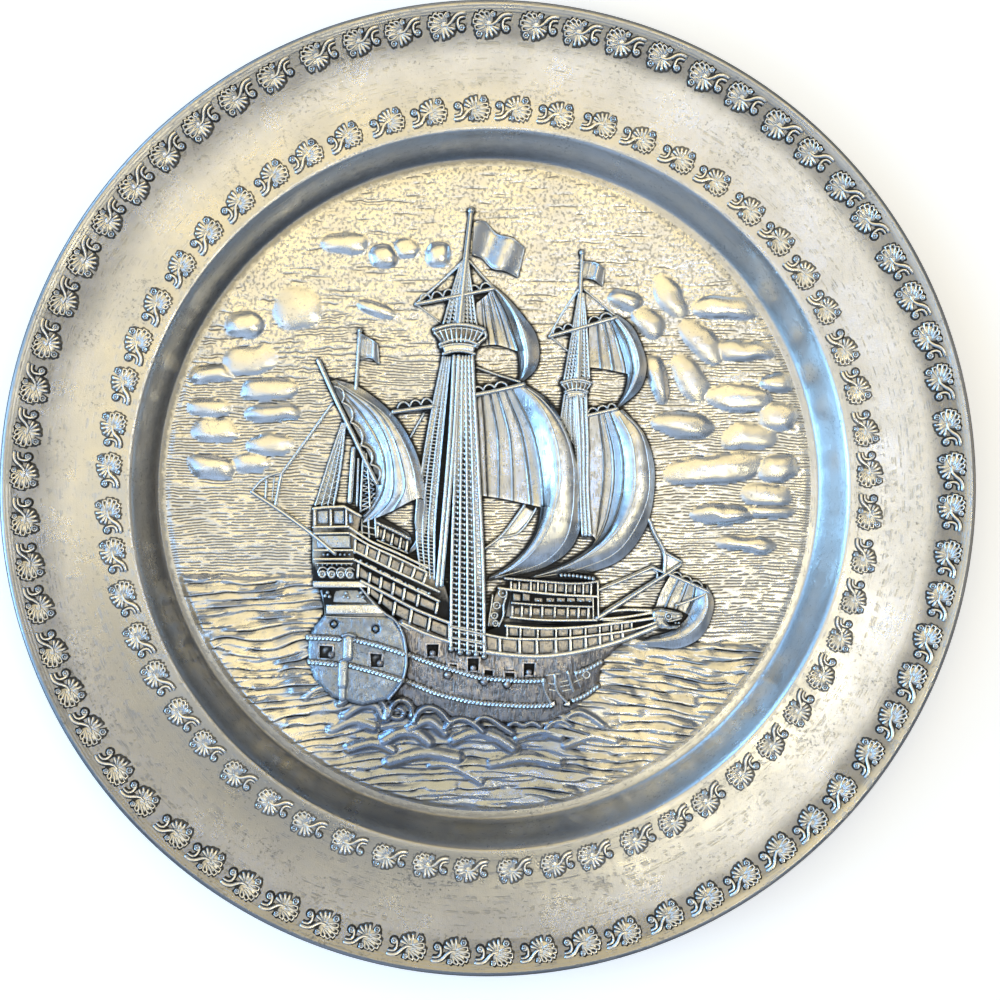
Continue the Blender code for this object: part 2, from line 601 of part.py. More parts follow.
def add_rigging(collection):
    for number, (left_foot, left_head, right_head, right_foot, height) in enumerate(SHROUDS):
        slab(f"shroud_{number}", [left_foot, left_head, right_head, right_foot], height, collection)
    for number, (places, start_width, end_width, height) in enumerate(SPARS):
        spar(f"spar_{number}", places, start_width, end_width, height, collection)
    for number, top in enumerate(TOPS):
        fighting_top(f"top_{number}", *top, collection)
    for number, outline in enumerate(FLAGS):
        slab(f"flag_{number}", outline, FLAG_HEIGHT, collection)
    for name, shape in SAILS.items():
        sail(name, *shape, collection)


def main():
    clear_scene()
    plate = turned_body()
    relief = bpy.data.collections.new("relief")
    bpy.context.scene.collection.children.link(relief)
    add_hull(relief)
    add_rigging(relief)
    add_sea(relief)
    for number, (centre, length, width, turn) in enumerate(CLOUDS):
        mound(f"cloud_{number}", centre, length, width, turn, CLOUD_HEIGHT, relief)
    leaf_ring("outer_leaves", OUTER_RING, relief)
    leaf_ring("inner_leaves", INNER_RING, relief)
    for tool in relief.objects:
        tool.hide_render = True
        tool.display_type = "WIRE"
    join = plate.modifiers.new("relief", "BOOLEAN")
    join.operation = "UNION"
    join.solver = "EXACT"
    join.operand_type = "COLLECTION"
    join.collection = relief
    plate.data.shade_smooth()
    plate.data.set_sharp_from_angle(angle=radians(30))


main()
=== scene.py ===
"""The finish of a cast pewter plate: turned rim and well, two rings of stamped leaves, and in the
well a galleon under sail between clouds and sea, all with black patina in the recesses.

Sizes are in millimetres and become metres where a mesh is made. A place on the picture is
(across, up) from the plate's axis, and its height is counted from the floor of the well.
"""

import bpy
import numpy as np
from math import ceil, cos, hypot, pi, radians, sin
from mathutils import Matrix, Vector


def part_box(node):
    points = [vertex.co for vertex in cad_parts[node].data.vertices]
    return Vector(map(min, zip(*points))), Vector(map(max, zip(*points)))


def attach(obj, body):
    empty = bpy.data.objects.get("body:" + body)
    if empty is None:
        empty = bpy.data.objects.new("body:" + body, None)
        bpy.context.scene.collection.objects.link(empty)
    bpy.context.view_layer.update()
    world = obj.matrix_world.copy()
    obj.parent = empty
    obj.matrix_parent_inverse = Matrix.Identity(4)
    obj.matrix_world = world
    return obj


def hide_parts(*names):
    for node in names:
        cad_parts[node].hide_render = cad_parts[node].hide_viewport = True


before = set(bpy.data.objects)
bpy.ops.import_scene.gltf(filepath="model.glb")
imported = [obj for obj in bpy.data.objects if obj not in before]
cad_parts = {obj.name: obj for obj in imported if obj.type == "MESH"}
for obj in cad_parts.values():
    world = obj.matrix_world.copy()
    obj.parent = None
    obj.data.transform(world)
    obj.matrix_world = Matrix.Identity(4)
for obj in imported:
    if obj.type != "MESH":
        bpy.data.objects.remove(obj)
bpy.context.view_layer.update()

MM = 0.001
NODE = "pewter_plate"

# The plate, from the frame's own box
_, plate_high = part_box(NODE)
PLATE_RADIUS = plate_high.x / MM
PLATE_TOP = plate_high.z / MM
LIP_RADIUS = 1.3
LIP_CENTRE_RADIUS = PLATE_RADIUS - LIP_RADIUS
LIP_CENTRE_HEIGHT = PLATE_TOP - LIP_RADIUS
RIM_OUTER_RADIUS = LIP_CENTRE_RADIUS - LIP_RADIUS
RIM_RISE = 4.5
RIM_INNER_RADIUS = 104.6
RIM_DROP = 4.2
RIM_INNER_HEIGHT = LIP_CENTRE_HEIGHT - RIM_DROP
LIP_START = 136.2
LIP_RISE = 0.9
FLOOR_RADIUS = 98.4
WALL_START = 97.0
FLOOR = 2.4
BED = FLOOR - 0.5
PICTURE_RADIUS = 95.0
THICKNESS = 2.0
TURNED_SIDES = 360

# Rings of leaves: radius, how many, turn of the stamp, size, seed of the hand's unevenness
OUTER_RING = (133.2, 66, 1, 0.98, 3)
INNER_RING = (110.0, 56, -1, 0.92, 4)

# Ground of the picture
SEA_LEFT = -25.0
SEA_RIGHT = -46.0

# How far pieces are sunk below the floor, how the strands of a rope turn, and how fine a bar is
ROOT = 1.0
ROPE_TWIST = 2.8
SLIM = 1.0
SLIM_ENDS, FULL_ENDS = (78, 38), (82, 55, 28)
SLIM_STEPS, FULL_STEPS = 5, 9
SHARP_ANGLE = 50

shapes = []


# ---------------------------------------------------------------- curves and noise


def raised(places, height):
    """Flat places given one height, or a height each."""
    return np.column_stack([places, np.full(len(places), height)])


def lengths(points):
    """How far along a line each of its points lies."""
    return np.concatenate([[0], np.cumsum(np.linalg.norm(np.diff(points, axis=0), axis=1))])


def at(wanted, known, points):
    """Places on a line, where known says how far along each of its points lies."""
    return np.array([np.interp(wanted, known, column) for column in points.T]).T


def eased(t, width, first, last, first_slope, last_slope):
    """The place at share t of one span of a smooth curve."""
    return (
        (2 * t**3 - 3 * t**2 + 1) * first
        + (t**3 - 2 * t**2 + t) * width * first_slope
        + (3 * t**2 - 2 * t**3) * last
        + (t**3 - t**2) * width * last_slope
    )


def through(points, count):
    """Places evenly spaced on a smooth curve through the points."""
    points = np.array(points, float)
    if len(points) == 1:
        return np.repeat(points, count, axis=0)
    steps = np.linalg.norm(np.diff(points, axis=0), axis=1)
    if len(points) > 2:
        slopes = np.gradient(points, lengths(points), axis=0)
    else:
        slopes = np.repeat(np.diff(points, axis=0) / steps, 2, axis=0)
    share = np.linspace(0, len(points) - 1, 30 * len(points))
    span = np.minimum(share.astype(int), len(points) - 2)
    t, width = (share - span)[:, None], steps[span][:, None]
    curve = eased(t, width, points[span], points[span + 1], slopes[span], slopes[span + 1])
    length = lengths(curve)
    return at(np.linspace(0, length[-1], count), length, curve)


def path_length(points):
    return float(np.sum(np.linalg.norm(np.diff(np.array(points, float), axis=0), axis=1)))


def round_about(centre, radius, turn):
    """Places at a radius from a centre, one for each angle."""
    return np.column_stack([centre[0] + radius * np.cos(turn), centre[1] + radius * np.sin(turn)])


def arc(centre, radius, start, end, count=12):
    """Places on an arc, turning from one angle to another in degrees."""
    return round_about(centre, radius, np.radians(np.linspace(start, end, count)))


def smoothstep(low, high, value):
    t = np.clip((value - low) / (high - low), 0, 1)
    return t * t * (3 - 2 * t)


def eased_grid(table, column, row, next_column, next_row, right, above):
    """Values between the cells of a table."""
    low = table[row, column] * (1 - right) + table[row, next_column] * right
    high = table[next_row, column] * (1 - right) + table[next_row, next_column] * right
    return low * (1 - above) + high * above


def noise(across, up, cell_across, cell_up, seed):
    """Smooth random heights from -1 to 1 over cells of the given size."""
    side = 256
    table = np.random.default_rng(seed).uniform(-1, 1, (side, side))
    x, y = across / cell_across, up / cell_up
    column, row = np.floor(x).astype(int), np.floor(y).astype(int)
    right, above = (share * share * (3 - 2 * share) for share in (x - column, y - row))
    cells = (column % side, row % side, (column + 1) % side, (row + 1) % side)
    return eased_grid(table, *cells, right, above)


def distance_to(across, up, line):
    """How far each place is from a line through many points."""
    nearest = np.full(across.shape, 1e9)
    for start, end in zip(line[:-1], line[1:]):
        step = end - start
        x, y = across - start[0], up - start[1]
        share = np.clip((x * step[0] + y * step[1]) / max(step @ step, 1e-9), 0, 1)
        nearest = np.minimum(nearest, np.hypot(x - share * step[0], y - share * step[1]))
    return nearest


# ---------------------------------------------------------------- building meshes


def place_object(name, data):
    made = bpy.data.objects.new(name, data)
    bpy.context.scene.collection.objects.link(made)
    return made


def store(mesh, label, values):
    """Keeps a named value on every point of a mesh."""
    mesh.attributes.new(label, "FLOAT", "POINT").data.foreach_set("value", values.astype(np.float32))


class Shape:
    """One piece, gathered from sheets, bars, beads and panels. Heights are above the floor."""

    def __init__(self, name, material, base=FLOOR):
        self.name = name
        self.material = material
        self.base = base
        self.points = []
        self.quads = []
        self.others = []
        self.size = 0
        self.marks = {}
        shapes.append(self)

    def add(self, points, quads, others=()):
        self.points.append(np.array(points, float) + (0, 0, self.base))
        self.quads.append(np.array(quads, int).reshape(-1, 4) + self.size)
        self.others += [[corner + self.size for corner in face] for face in others]
        self.size += len(points)

    def sheet(self, grid, around=False, ends=()):
        """A grid of places, rows by columns, closed around its columns if asked."""
        rows, columns = grid.shape[:2]
        index = np.arange(rows * columns).reshape(rows, columns)
        beside = np.roll(index, -1, axis=1) if around else index[:, 1:]
        first = index if around else index[:, :-1]
        quads = np.stack([first[:-1], beside[:-1], beside[1:], first[1:]], axis=-1)
        others = [list(index[0][::-1]) if end == 0 else list(index[-1]) for end in ends]
        self.add(grid.reshape(-1, 3), quads.reshape(-1, 4), others)

    def levels(self, rows, ends=(0, 1)):
        """A closed wall through flat outlines, each with its height."""
        self.sheet(np.array([raised(places, height) for places, height in rows]), around=True, ends=ends)

    def skirted(self, grid):
        """A sheet with walls down to a flat underside."""
        edge = np.concatenate([grid[0], grid[1:, -1], grid[-1, ::-1][1:], grid[::-1, 0][1:-1]])
        self.sheet(grid)
        self.levels([(edge[:, :2], -ROOT), (edge[:, :2], edge[:, 2])], ends=(0,))

    def bar(
        self, places, width, top, depth=2.0, square=1.0, step=0.8, closed=False, straight=False, rope=None,
        plain=False,
    ):
        """A rounded bar. Width and top are each one number, or a list spread along the bar.

        Top may also be a function of place. Rope gives the pitch of the strands and how deep they lie.
        """
        places = np.array(places, float)
        slim = plain or (np.max(width) < SLIM and not rope)
        pitch = rope[0] / 7 if rope else step
        count = max(2 if len(places) == 2 else 3, ceil(path_length(places) / pitch) + 1)
        if straight:
            known = lengths(places)
            line = at(
                np.sort(np.concatenate([np.linspace(0, known[-1], count), known[1:-1]])), known, places,
            )
        else:
            line = through(places, count)
        travelled = lengths(line)
        share = travelled / travelled[-1]
        widths = np.interp(share, np.linspace(0, 1, np.size(width)), np.atleast_1d(width))
        if callable(top):
            tops = top(line[:, 0], line[:, 1])
        else:
            tops = np.interp(share, np.linspace(0, 1, np.size(top)), np.atleast_1d(top))
        slope = np.gradient(line, axis=0)
        slope /= np.maximum(np.linalg.norm(slope, axis=1), 1e-9)[:, None]
        scale = np.ones(len(line))
        if not closed:
            ends = np.radians(SLIM_ENDS if slim else FULL_ENDS)
            start = line[0] - slope[0] * widths[0] / 2 * np.sin(ends)[:, None]
            finish = line[-1] + slope[-1] * widths[-1] / 2 * np.sin(ends[::-1])[:, None]
            line = np.concatenate([start, line, finish])
            slope = np.pad(slope, ((len(ends), len(ends)), (0, 0)), mode="edge")
            scale = np.concatenate([np.cos(ends), scale, np.cos(ends[::-1])])
            widths, tops, travelled = (
                np.pad(value, len(ends), mode="edge") for value in (widths, tops, travelled)
            )
        steps = SLIM_STEPS if slim else FULL_STEPS
        turn = np.linspace(0, pi, steps)
        out = np.sign(np.cos(turn)) * np.abs(np.cos(turn)) ** square
        rise = np.sin(turn) ** square
        radius = (widths / 2 * scale)[:, None] * np.ones(steps)
        if rope:
            radius = radius * (
                1 + rope[1] * np.cos(2 * pi * travelled[:, None] / rope[0] + ROPE_TWIST * turn)
            )
        side = np.column_stack([-slope[:, 1], slope[:, 0]])
        grid = np.zeros((len(line), steps + 2, 3))
        grid[:, 1:-1, :2] = line[:, None] + side[:, None] * (radius * out)[..., None]
        grid[:, 1:-1, 2] = (tops - widths / 2)[:, None] + radius * rise
        grid[:, 0], grid[:, -1] = grid[:, 1], grid[:, -2]
        grid[:, 0, 2] = grid[:, -1, 2] = tops - widths / 2 - depth
        self.sheet(grid[:, ::-1], around=True, ends=() if closed else (0, 1))

    def bars(self, rows, *top, **settings):
        """Several bars, each given by its line, its width and, unless they share one, its top."""
        for row in rows:
            self.bar(*row, *top, **settings)

    def chain(self, corners, width, top):
        """A straight squared bar between each two corners."""
        for start, end in zip(corners, corners[1:]):
            self.bar([start, end], width, top, square=0.6, straight=True)

    def ring(self, centre, radius, width, top, depth=1.2, step=0.35):
        self.bar(
            arc(centre, radius, 0, 360, max(16, int(radius * 10))), width, top, depth, closed=True,
            step=step,
        )

    def bead(self, centre, radius, top, depth=1.5, flat=1.0):
        """A round stud."""
        small = radius < 0.5
        turn = np.linspace(0, 2 * pi, 8 if small else 14, endpoint=False)
        rings = []
        for lift in np.radians([0, 45, 80] if small else [0, 25, 50, 72, 86]):
            rise = top - radius * flat * (1 - np.sin(lift))
            rings.append((round_about(centre, radius * np.cos(lift), turn), rise))
        self.levels([(rings[0][0], rings[0][1] - depth)] + rings)

    def beads(self, places, radius, top, **settings):
        for place in places:
            self.bead(place, radius, top, **settings)

    def panel(self, outline, top, edge=0.35):
        """A raised panel with rounded edges. Its top is one height, or a function of place."""
        points = np.array(outline, float)
        area = np.sum(points[:, 0] * np.roll(points[:, 1], -1) - points[:, 1] * np.roll(points[:, 0], -1))
        if area < 0:
            points = points[::-1]
        before = points - np.roll(points, 1, axis=0)
        after = np.roll(points, -1, axis=0) - points
        before /= np.linalg.norm(before, axis=1)[:, None]
        after /= np.linalg.norm(after, axis=1)[:, None]
        inwards = np.column_stack([-before[:, 1] - after[:, 1], before[:, 0] + after[:, 0]])
        inwards /= np.maximum(1 + np.sum(before * after, axis=1), 0.4)[:, None]
        tops = top(points[:, 0], points[:, 1]) if callable(top) else top
        steps = ((0.0, 1.0), (0.12, 0.5), (0.45, 0.12), (1.0, 0.0))
        rows = [(points + inwards * inset * edge, tops - drop * edge) for inset, drop in steps]
        self.levels([(points, -ROOT)] + rows)

    def finish(self):
        """Makes the Blender object."""
        points = np.concatenate(self.points)
        quads = np.concatenate(self.quads)
        mesh = bpy.data.meshes.new(self.name)
        mesh.from_pydata((points * MM).tolist(), [], quads.tolist() + self.others)
        for label, mark in self.marks.items():
            store(mesh, label, mark(points[:, 0], points[:, 1]))
        mesh.validate()
        mesh.update()
        mesh.materials.append(self.material)
        mesh.shade_smooth()
        mesh.set_sharp_from_angle(angle=radians(SHARP_ANGLE))
        piece = place_object(self.name, mesh)
        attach(piece, "root")
        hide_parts(NODE)
        return piece


# ---------------------------------------------------------------- heights that follow a surface


def inside(across, up, outline):
    """True where a place lies inside an outline."""
    outline = np.array(outline, float)
    odd = np.zeros(np.shape(across), bool)
    for (x0, y0), (x1, y1) in zip(outline, np.roll(outline, -1, axis=0)):
        if y0 != y1:
            odd ^= ((y0 > up) != (y1 > up)) & (across < (x1 - x0) * (up - y0) / (y1 - y0) + x0)
    return odd


def nearest_on(places, outline):
    """The closest place on a closed outline, and how far it is."""
    best, best_distance = places.copy(), np.full(len(places), 1e9)
    for start, end in zip(outline, np.roll(outline, -1, axis=0)):
        step = end - start
        share = np.clip((places - start) @ step / max(step @ step, 1e-9), 0, 1)
        found = start + share[:, None] * step
        distance = np.linalg.norm(places - found, axis=1)
        closer = distance < best_distance
        best[closer], best_distance[closer] = found[closer], distance[closer]
    return best, best_distance


def rounding(across, up, outline, edge):
    """How far a rounded edge of this size falls below the middle of a form."""
    outline = np.array(outline, float)
    inwards = np.clip(distance_to(across, up, np.vstack([outline, outline[:1]])) / edge, 0, 1)
    return edge * (1 - np.sqrt(1 - (1 - inwards) ** 2))


def relief(shape, outline, height, cell, cell_up=None, keep=None, rows=None):
    """A surface of fine cells inside an outline, its height a function of place, with walls below it."""
    outline = np.array(outline, float)
    cells = np.array([cell, cell_up or cell])
    first, last = np.floor(outline.min(axis=0) / cells) - 3, np.ceil(outline.max(axis=0) / cells) + 4
    across, up = np.meshgrid(*(np.arange(a, b) * size for a, b, size in zip(first, last, cells)))
    if rows:
        up = rows(across, up)
    middle_across = across[:-1, :-1] + cell / 2
    middle_up = (up[:-1, :-1] + up[:-1, 1:] + up[1:, 1:] + up[1:, :-1]) / 4
    kept = inside(middle_across, middle_up, outline)
    if keep is not None:
        kept &= keep(middle_across, middle_up)
    index = np.arange(across.size).reshape(across.shape)
    corners = np.stack([index[:-1, :-1], index[:-1, 1:], index[1:, 1:], index[1:, :-1]], axis=-1)[kept]
    edges = np.concatenate([corners[:, [i, (i + 1) % 4]] for i in range(4)])
    ends = np.sort(edges, axis=1)
    _, first, count = np.unique(
        ends[:, 0] * across.size + ends[:, 1], return_index=True, return_counts=True,
    )
    used = np.unique(corners)
    border = np.searchsorted(used, edges[first[count == 1]])
    rim, border = np.unique(border, return_inverse=True)
    border = border.reshape(-1, 2)
    places = np.column_stack([across.ravel()[used], up.ravel()[used]])
    found, distance = nearest_on(places[rim], outline)
    close = distance < 1.1 * hypot(*cells)
    places[rim[close]] = found[close]
    top = np.column_stack([places, height(places[:, 0], places[:, 1])])
    foot = top[rim].copy()
    foot[:, 2] = -ROOT
    left, right = border.T
    walls = np.column_stack([rim[right], rim[left], len(top) + left, len(top) + right])
    shape.add(np.vstack([top, foot]), np.vstack([np.searchsorted(used, corners), walls]))


# ---------------------------------------------------------------- plate body


def rim_height(radius):
    """Height of the rim's upper side above the underside."""
    share = (radius - RIM_INNER_RADIUS) / (RIM_OUTER_RADIUS - RIM_INNER_RADIUS)
    return RIM_INNER_HEIGHT + RIM_RISE * share**2


def wall_height(radius):
    """Height of the well's wall above the underside."""
    share = (1 - np.cos(pi * np.clip((radius - WALL_START) / (RIM_INNER_RADIUS - WALL_START), 0, 1))) / 2
    return FLOOR + (RIM_INNER_HEIGHT - FLOOR) * share


def profile_of(height, start, end, count):
    """A stretch of the turned profile, as (radius, height)."""
    return [(radius, height(radius)) for radius in np.linspace(start, end, count)]


def face_profile():
    """The upper side from the axis to the lip, as (radius, height)."""
    bed = [(0.0, BED), (60.0, BED), (PICTURE_RADIUS - 0.6, BED), (PICTURE_RADIUS - 0.1, FLOOR)]
    ring = profile_of(lambda radius: FLOOR, PICTURE_RADIUS + 0.4, WALL_START - 0.3, 4)
    wall = profile_of(wall_height, WALL_START, RIM_INNER_RADIUS - 0.35, 20)
    rim = profile_of(rim_height, RIM_INNER_RADIUS + 0.35, LIP_START - 0.3, 36)
    share = np.linspace(0, 1, 13)
    radius = LIP_START + (LIP_CENTRE_RADIUS - LIP_START) * share
    rise = rim_height(LIP_START) * (1 - share) + (LIP_CENTRE_HEIGHT + LIP_RISE) * share
    slope = np.column_stack([radius, rise - 0.02 * np.sin(6 * pi * share)])
    turn = np.radians(np.linspace(75, -90, 12))
    rise = np.where(turn > 0, LIP_RISE, LIP_RADIUS)
    radius = LIP_CENTRE_RADIUS + (LIP_RADIUS - 0.01) * np.cos(turn)
    edge = np.column_stack([radius, LIP_CENTRE_HEIGHT + rise * np.sin(turn)])
    return np.vstack([bed, ring, wall, rim, slope, edge])


def back_profile():
    """The underside from the lip back to the axis, as (radius, height)."""
    def under_rim(radius):
        return rim_height(radius) - THICKNESS

    def under_wall(radius):
        return max(wall_height(radius - THICKNESS) - THICKNESS, 0.0)

    rim = profile_of(under_rim, RIM_OUTER_RADIUS - 0.6, RIM_INNER_RADIUS + 1.4, 14)
    wall = profile_of(under_wall, RIM_INNER_RADIUS + 0.9, FLOOR_RADIUS + 2.2, 10)
    return np.array(rim + wall + [(FLOOR_RADIUS + 0.6, 0.0), (60.0, 0.0), (0.0, 0.0)])


def add_plate_body(material):
    profile = np.vstack([face_profile(), back_profile()])
    turn = np.linspace(0, 2 * pi, TURNED_SIDES, endpoint=False)
    grid = np.zeros((len(profile), TURNED_SIDES, 3))
    grid[..., 0] = profile[:, :1] * np.cos(turn)
    grid[..., 1] = profile[:, :1] * np.sin(turn)
    grid[..., 2] = profile[:, 1:]
    body = Shape("plate_body", material, base=0)
    body.sheet(grid[1:-1, ::-1], around=True)
    for centre, ring, flip in ((grid[0, 0], grid[1], 1), (grid[-1, 0], grid[-2], -1)):
        fan = [[0, 1 + i, 1 + (i + 1) % TURNED_SIDES][::flip] for i in range(TURNED_SIDES)]
        body.add(np.vstack([[centre], ring]), np.zeros((0, 4)), fan)


# ---------------------------------------------------------------- rings of leaves

# The stamp: stalk at the left, leaf at the right, berry above the stalk
LEAF_MIDDLE = (1.6, -0.1)
LEAF_EDGE = (
    (-2.6, 1.0), (-2.1, 2.9), (-0.6, 3.8), (1.4, 4.1), (2.8, 3.7), (4.0, 3.9), (4.9, 3.0), (4.8, 1.9),
    (5.8, 1.5), (6.0, 0.3), (6.4, -0.8), (5.8, -1.8), (5.5, -3.0), (4.2, -3.9), (2.6, -4.1), (1.2, -4.1),
    (-0.4, -4.0), (-1.4, -3.2), (-1.5, -2.0), (-1.0, -1.1), (-1.3, 0.1),
)
LEAF_LOBES = (
    ((1.5, 0.45), (5.0, 1.0), 0.66), ((1.7, -0.3), (5.55, -0.75), 0.7), ((1.5, -0.9), (5.0, -2.3), 0.7),
    ((1.0, -1.2), (3.7, -3.2), 0.68), ((0.5, -1.1), (2.0, -3.4), 0.62),
)
LEAF_FINGERS = (
    ((0.1, 0.5), (-1.9, 1.2)), ((0.2, 0.8), (-1.4, 2.4)), ((0.7, 1.0), (-0.1, 3.1)),
    ((1.4, 1.0), (1.3, 3.4)),
)
LEAF_STALK = ((-5.3, -2.9), (-3.9, -2.9), (-2.5, -2.2), (-1.4, -0.9), (-0.3, 0.0), (1.6, 0.1))
BERRY_STEM = ((-3.3, 1.2), (-3.05, 0.2), (-3.1, -0.9), (-3.7, -1.7), (-5.2, -1.9))
BERRY = (-4.1, 1.0)
LEAF_TOP = 0.85
LEAF_DEPTH = 0.6
LEAF_GROUND = 0.1

# Widths and tops along the stalk and along the stem of the berry
STALK_FORM = ([1.0, 1.0, 1.0, 0.9, 0.8, 0.5], [0.8, 1.0, 1.05, 1.0, 0.95, 0.8])
STEM_FORM = ([0.6, 0.7, 0.7, 0.7, 0.6], [0.9, 0.95, 0.95, 0.9, 0.8])


def lobe_line(inner, tip, half):
    """A line around one lobe, from its root out to the tip and back."""
    inner, along = np.array(inner), np.subtract(tip, inner)
    over = np.array([-along[1], along[0]]) / hypot(*along) * half
    spots = (
        (0.0, 0.0), (0.45, 0.7), (0.82, 1.0), (1.0, 0.45), (1.0, -0.45), (0.82, -1.0), (0.45, -0.7),
        (0.0, 0.0),
    )
    return [inner + out * along + side * over for out, side in spots]


def outline_around(places, middle, grow):
    """The outline of a form as seen from its middle, a little larger than the form."""
    count = 60
    away = places - middle
    turn, reach = np.arctan2(away[:, 1], away[:, 0]), np.hypot(away[:, 0], away[:, 1])
    ways = np.linspace(-pi, pi, count, endpoint=False)
    aside = np.abs((turn - ways[:, None] + pi) % (2 * pi) - pi)
    farthest = np.max(np.where(aside < 2 * pi / count, reach, 0.8), axis=1) + grow
    return round_about(middle, farthest, ways)


def leaf_stamp():
    """One motif, a lobed leaf on a stalk beside a curled berry, as its dark ground and its figure."""
    ground, figure = Shape("ground", None, base=0), Shape("figure", None, base=0)
    shapes.remove(ground)
    shapes.remove(figure)
    edge = through(LEAF_EDGE + LEAF_EDGE[:1], 25)[:-1]
    middle = np.array(LEAF_MIDDLE)
    dome = ((0.62, -0.4), (0.6, 0.2), (0.5, 0.32), (0.25, 0.38))
    figure.levels([(middle + (edge - middle) * share, height) for share, height in dome], ends=(1,))
    swell = [0.5, LEAF_TOP, LEAF_TOP + 0.05, LEAF_TOP, 0.5]
    for inner, tip, half in LEAF_LOBES:
        figure.bar(lobe_line(inner, tip, half), 0.5, swell, depth=LEAF_DEPTH, step=1.25, square=0.8)
    for finger in LEAF_FINGERS:
        figure.bar(
            finger, [0.4, 0.8, 0.9], [0.55, LEAF_TOP, LEAF_TOP], depth=LEAF_DEPTH, step=1.6, square=0.8,
        )
    for place, size in (((3.6, 2.65), 0.8), ((-0.15, -2.75), 0.66)):
        figure.ring(place, size, 0.5, LEAF_TOP + 0.05, depth=LEAF_DEPTH, step=0.85)
        figure.bead(place, 0.4, LEAF_TOP, depth=LEAF_DEPTH)
    outline = outline_around(np.concatenate(figure.points)[:, :2], middle, 0.48)
    cushion = (middle + (outline - middle) * 0.6, LEAF_GROUND + 0.05)
    ground.levels([(outline, -0.4), (outline, LEAF_GROUND), cushion], ends=(1,))
    ground.bar(LEAF_STALK[:4], 2.0, LEAF_GROUND, depth=0.5, step=1.4, square=0.25, plain=True)
    ground.bar(BERRY_STEM, 1.7, LEAF_GROUND, depth=0.5, step=1.2, square=0.25, plain=True)
    ground.bead(BERRY, 1.5, LEAF_GROUND, depth=0.5, flat=0.03)
    figure.ring(BERRY, 0.76, 0.55, LEAF_TOP + 0.05, depth=LEAF_DEPTH, step=0.85)
    figure.bead(BERRY, 0.45, LEAF_TOP + 0.1, depth=LEAF_DEPTH)
    figure.bar(LEAF_STALK, *STALK_FORM, depth=0.8, step=0.9, square=0.8, plain=True)
    figure.bar(BERRY_STEM, *STEM_FORM, depth=0.8, step=0.9, square=0.8)
    return ground, figure


def add_leaf_ring(name, material, dark, ring):
    """The stamp set around the rim by hand, each a little off its place."""
    radius, count, way, scale, seed = ring
    for stamp, label, metal in zip(leaf_stamp(), ("_ground", ""), (dark, material)):
        points, quads = np.concatenate(stamp.points), np.concatenate(stamp.quads)
        hand = np.random.default_rng(seed)
        shape = Shape(name + label, metal, base=0)
        for k in range(count):
            turn = 2 * pi * (k + 0.5 + hand.uniform(-0.04, 0.04)) / count
            tip, size = hand.uniform(-0.05, 0.05), scale * hand.uniform(0.97, 1.03)
            along = size * (points[:, 0] * cos(tip) - points[:, 1] * sin(tip)) * way
            inward = size * (points[:, 0] * sin(tip) + points[:, 1] * cos(tip)) * way
            out = radius + hand.uniform(-0.15, 0.15) - inward
            bend = turn + along / radius
            placed = np.column_stack(
                [out * np.cos(bend), out * np.sin(bend), rim_height(out) + points[:, 2]]
            )
            shape.add(placed, quads, stamp.others)


# ---------------------------------------------------------------- sky and sea

# Clouds: middle, length, width, turn in degrees
CLOUDS = (
    ((-42.5, 72.3), 13, 6, 0), ((-31.7, 68.6), 8, 6, 10), ((-24.2, 70.9), 7, 5, 0),
    ((-15.3, 69.5), 6, 7, 0), ((-33.6, 53.5), 11, 4, -22), ((-56.2, 53.5), 13, 11, 0),
    ((-71.7, 48.8), 11, 7, 0), ((-70.3, 38.5), 15, 8, 5), ((-82.0, 34.2), 12, 5, 0),
    ((-64.6, 29.9), 15, 6, 4), ((-82.4, 24.3), 12, 5, 0), ((-63.7, 22.6), 15, 5, 4),
    ((-80.7, 17.8), 12, 7, 0), ((-64.6, 13.5), 13, 6, 0), ((-82.2, 7.4), 13, 6, -14),
    ((-70.3, 8.2), 11, 5, 0), ((39.5, 56.3), 9, 6, -20), ((46.2, 49.7), 10, 7, -45),
    ((52.7, 57.0), 13, 7, -55), ((69.6, 54.0), 19, 6, -4), ((62.2, 44.1), 15, 7, -50),
    ((75.3, 41.3), 17, 5, -3), ((49.5, 32.9), 13, 5, -75), ((58.9, 32.9), 14, 7, -55),
    ((84.5, 31.9), 10, 5, 0), ((73.5, 27.2), 17, 7, -4), ((85.0, 22.0), 11, 7, 0),
    ((56.5, 19.6), 17, 7, -6), ((76.3, 15.9), 15, 7, 0), ((66.0, 6.4), 26, 8, 6), ((85.5, 6.5), 11, 7, 0),
    ((81.9, -1.0), 13, 6, -4), ((68.7, -6.9), 17, 5, 0), ((82.6, -6.4), 13, 4, -4),
    ((76.2, -15.9), 16, 4.5, -6),
)
CLOUD_TOP = 1.3
ROW_PITCH = 0.84
STROKE_DEPTH = 0.14
RIDGE_PITCH = 2.45
RIDGE_SEED = 31
CROSSING_PITCH = 3.1
CROSSING_SEED = 51

# Cells of the ground, and where the sky's two pieces meet
SKY_CELL = (0.52, ROW_PITCH / 2)
SEA_CELL = (0.5, RIDGE_PITCH / 8)
SKY_SPLIT = -6
EDGE_HEIGHT = 0.03


def horizon(across):
    """How far up the sea reaches."""
    return SEA_LEFT + (SEA_RIGHT - SEA_LEFT) * smoothstep(-60, 70, across) + 0.4 * np.sin(across / 5)


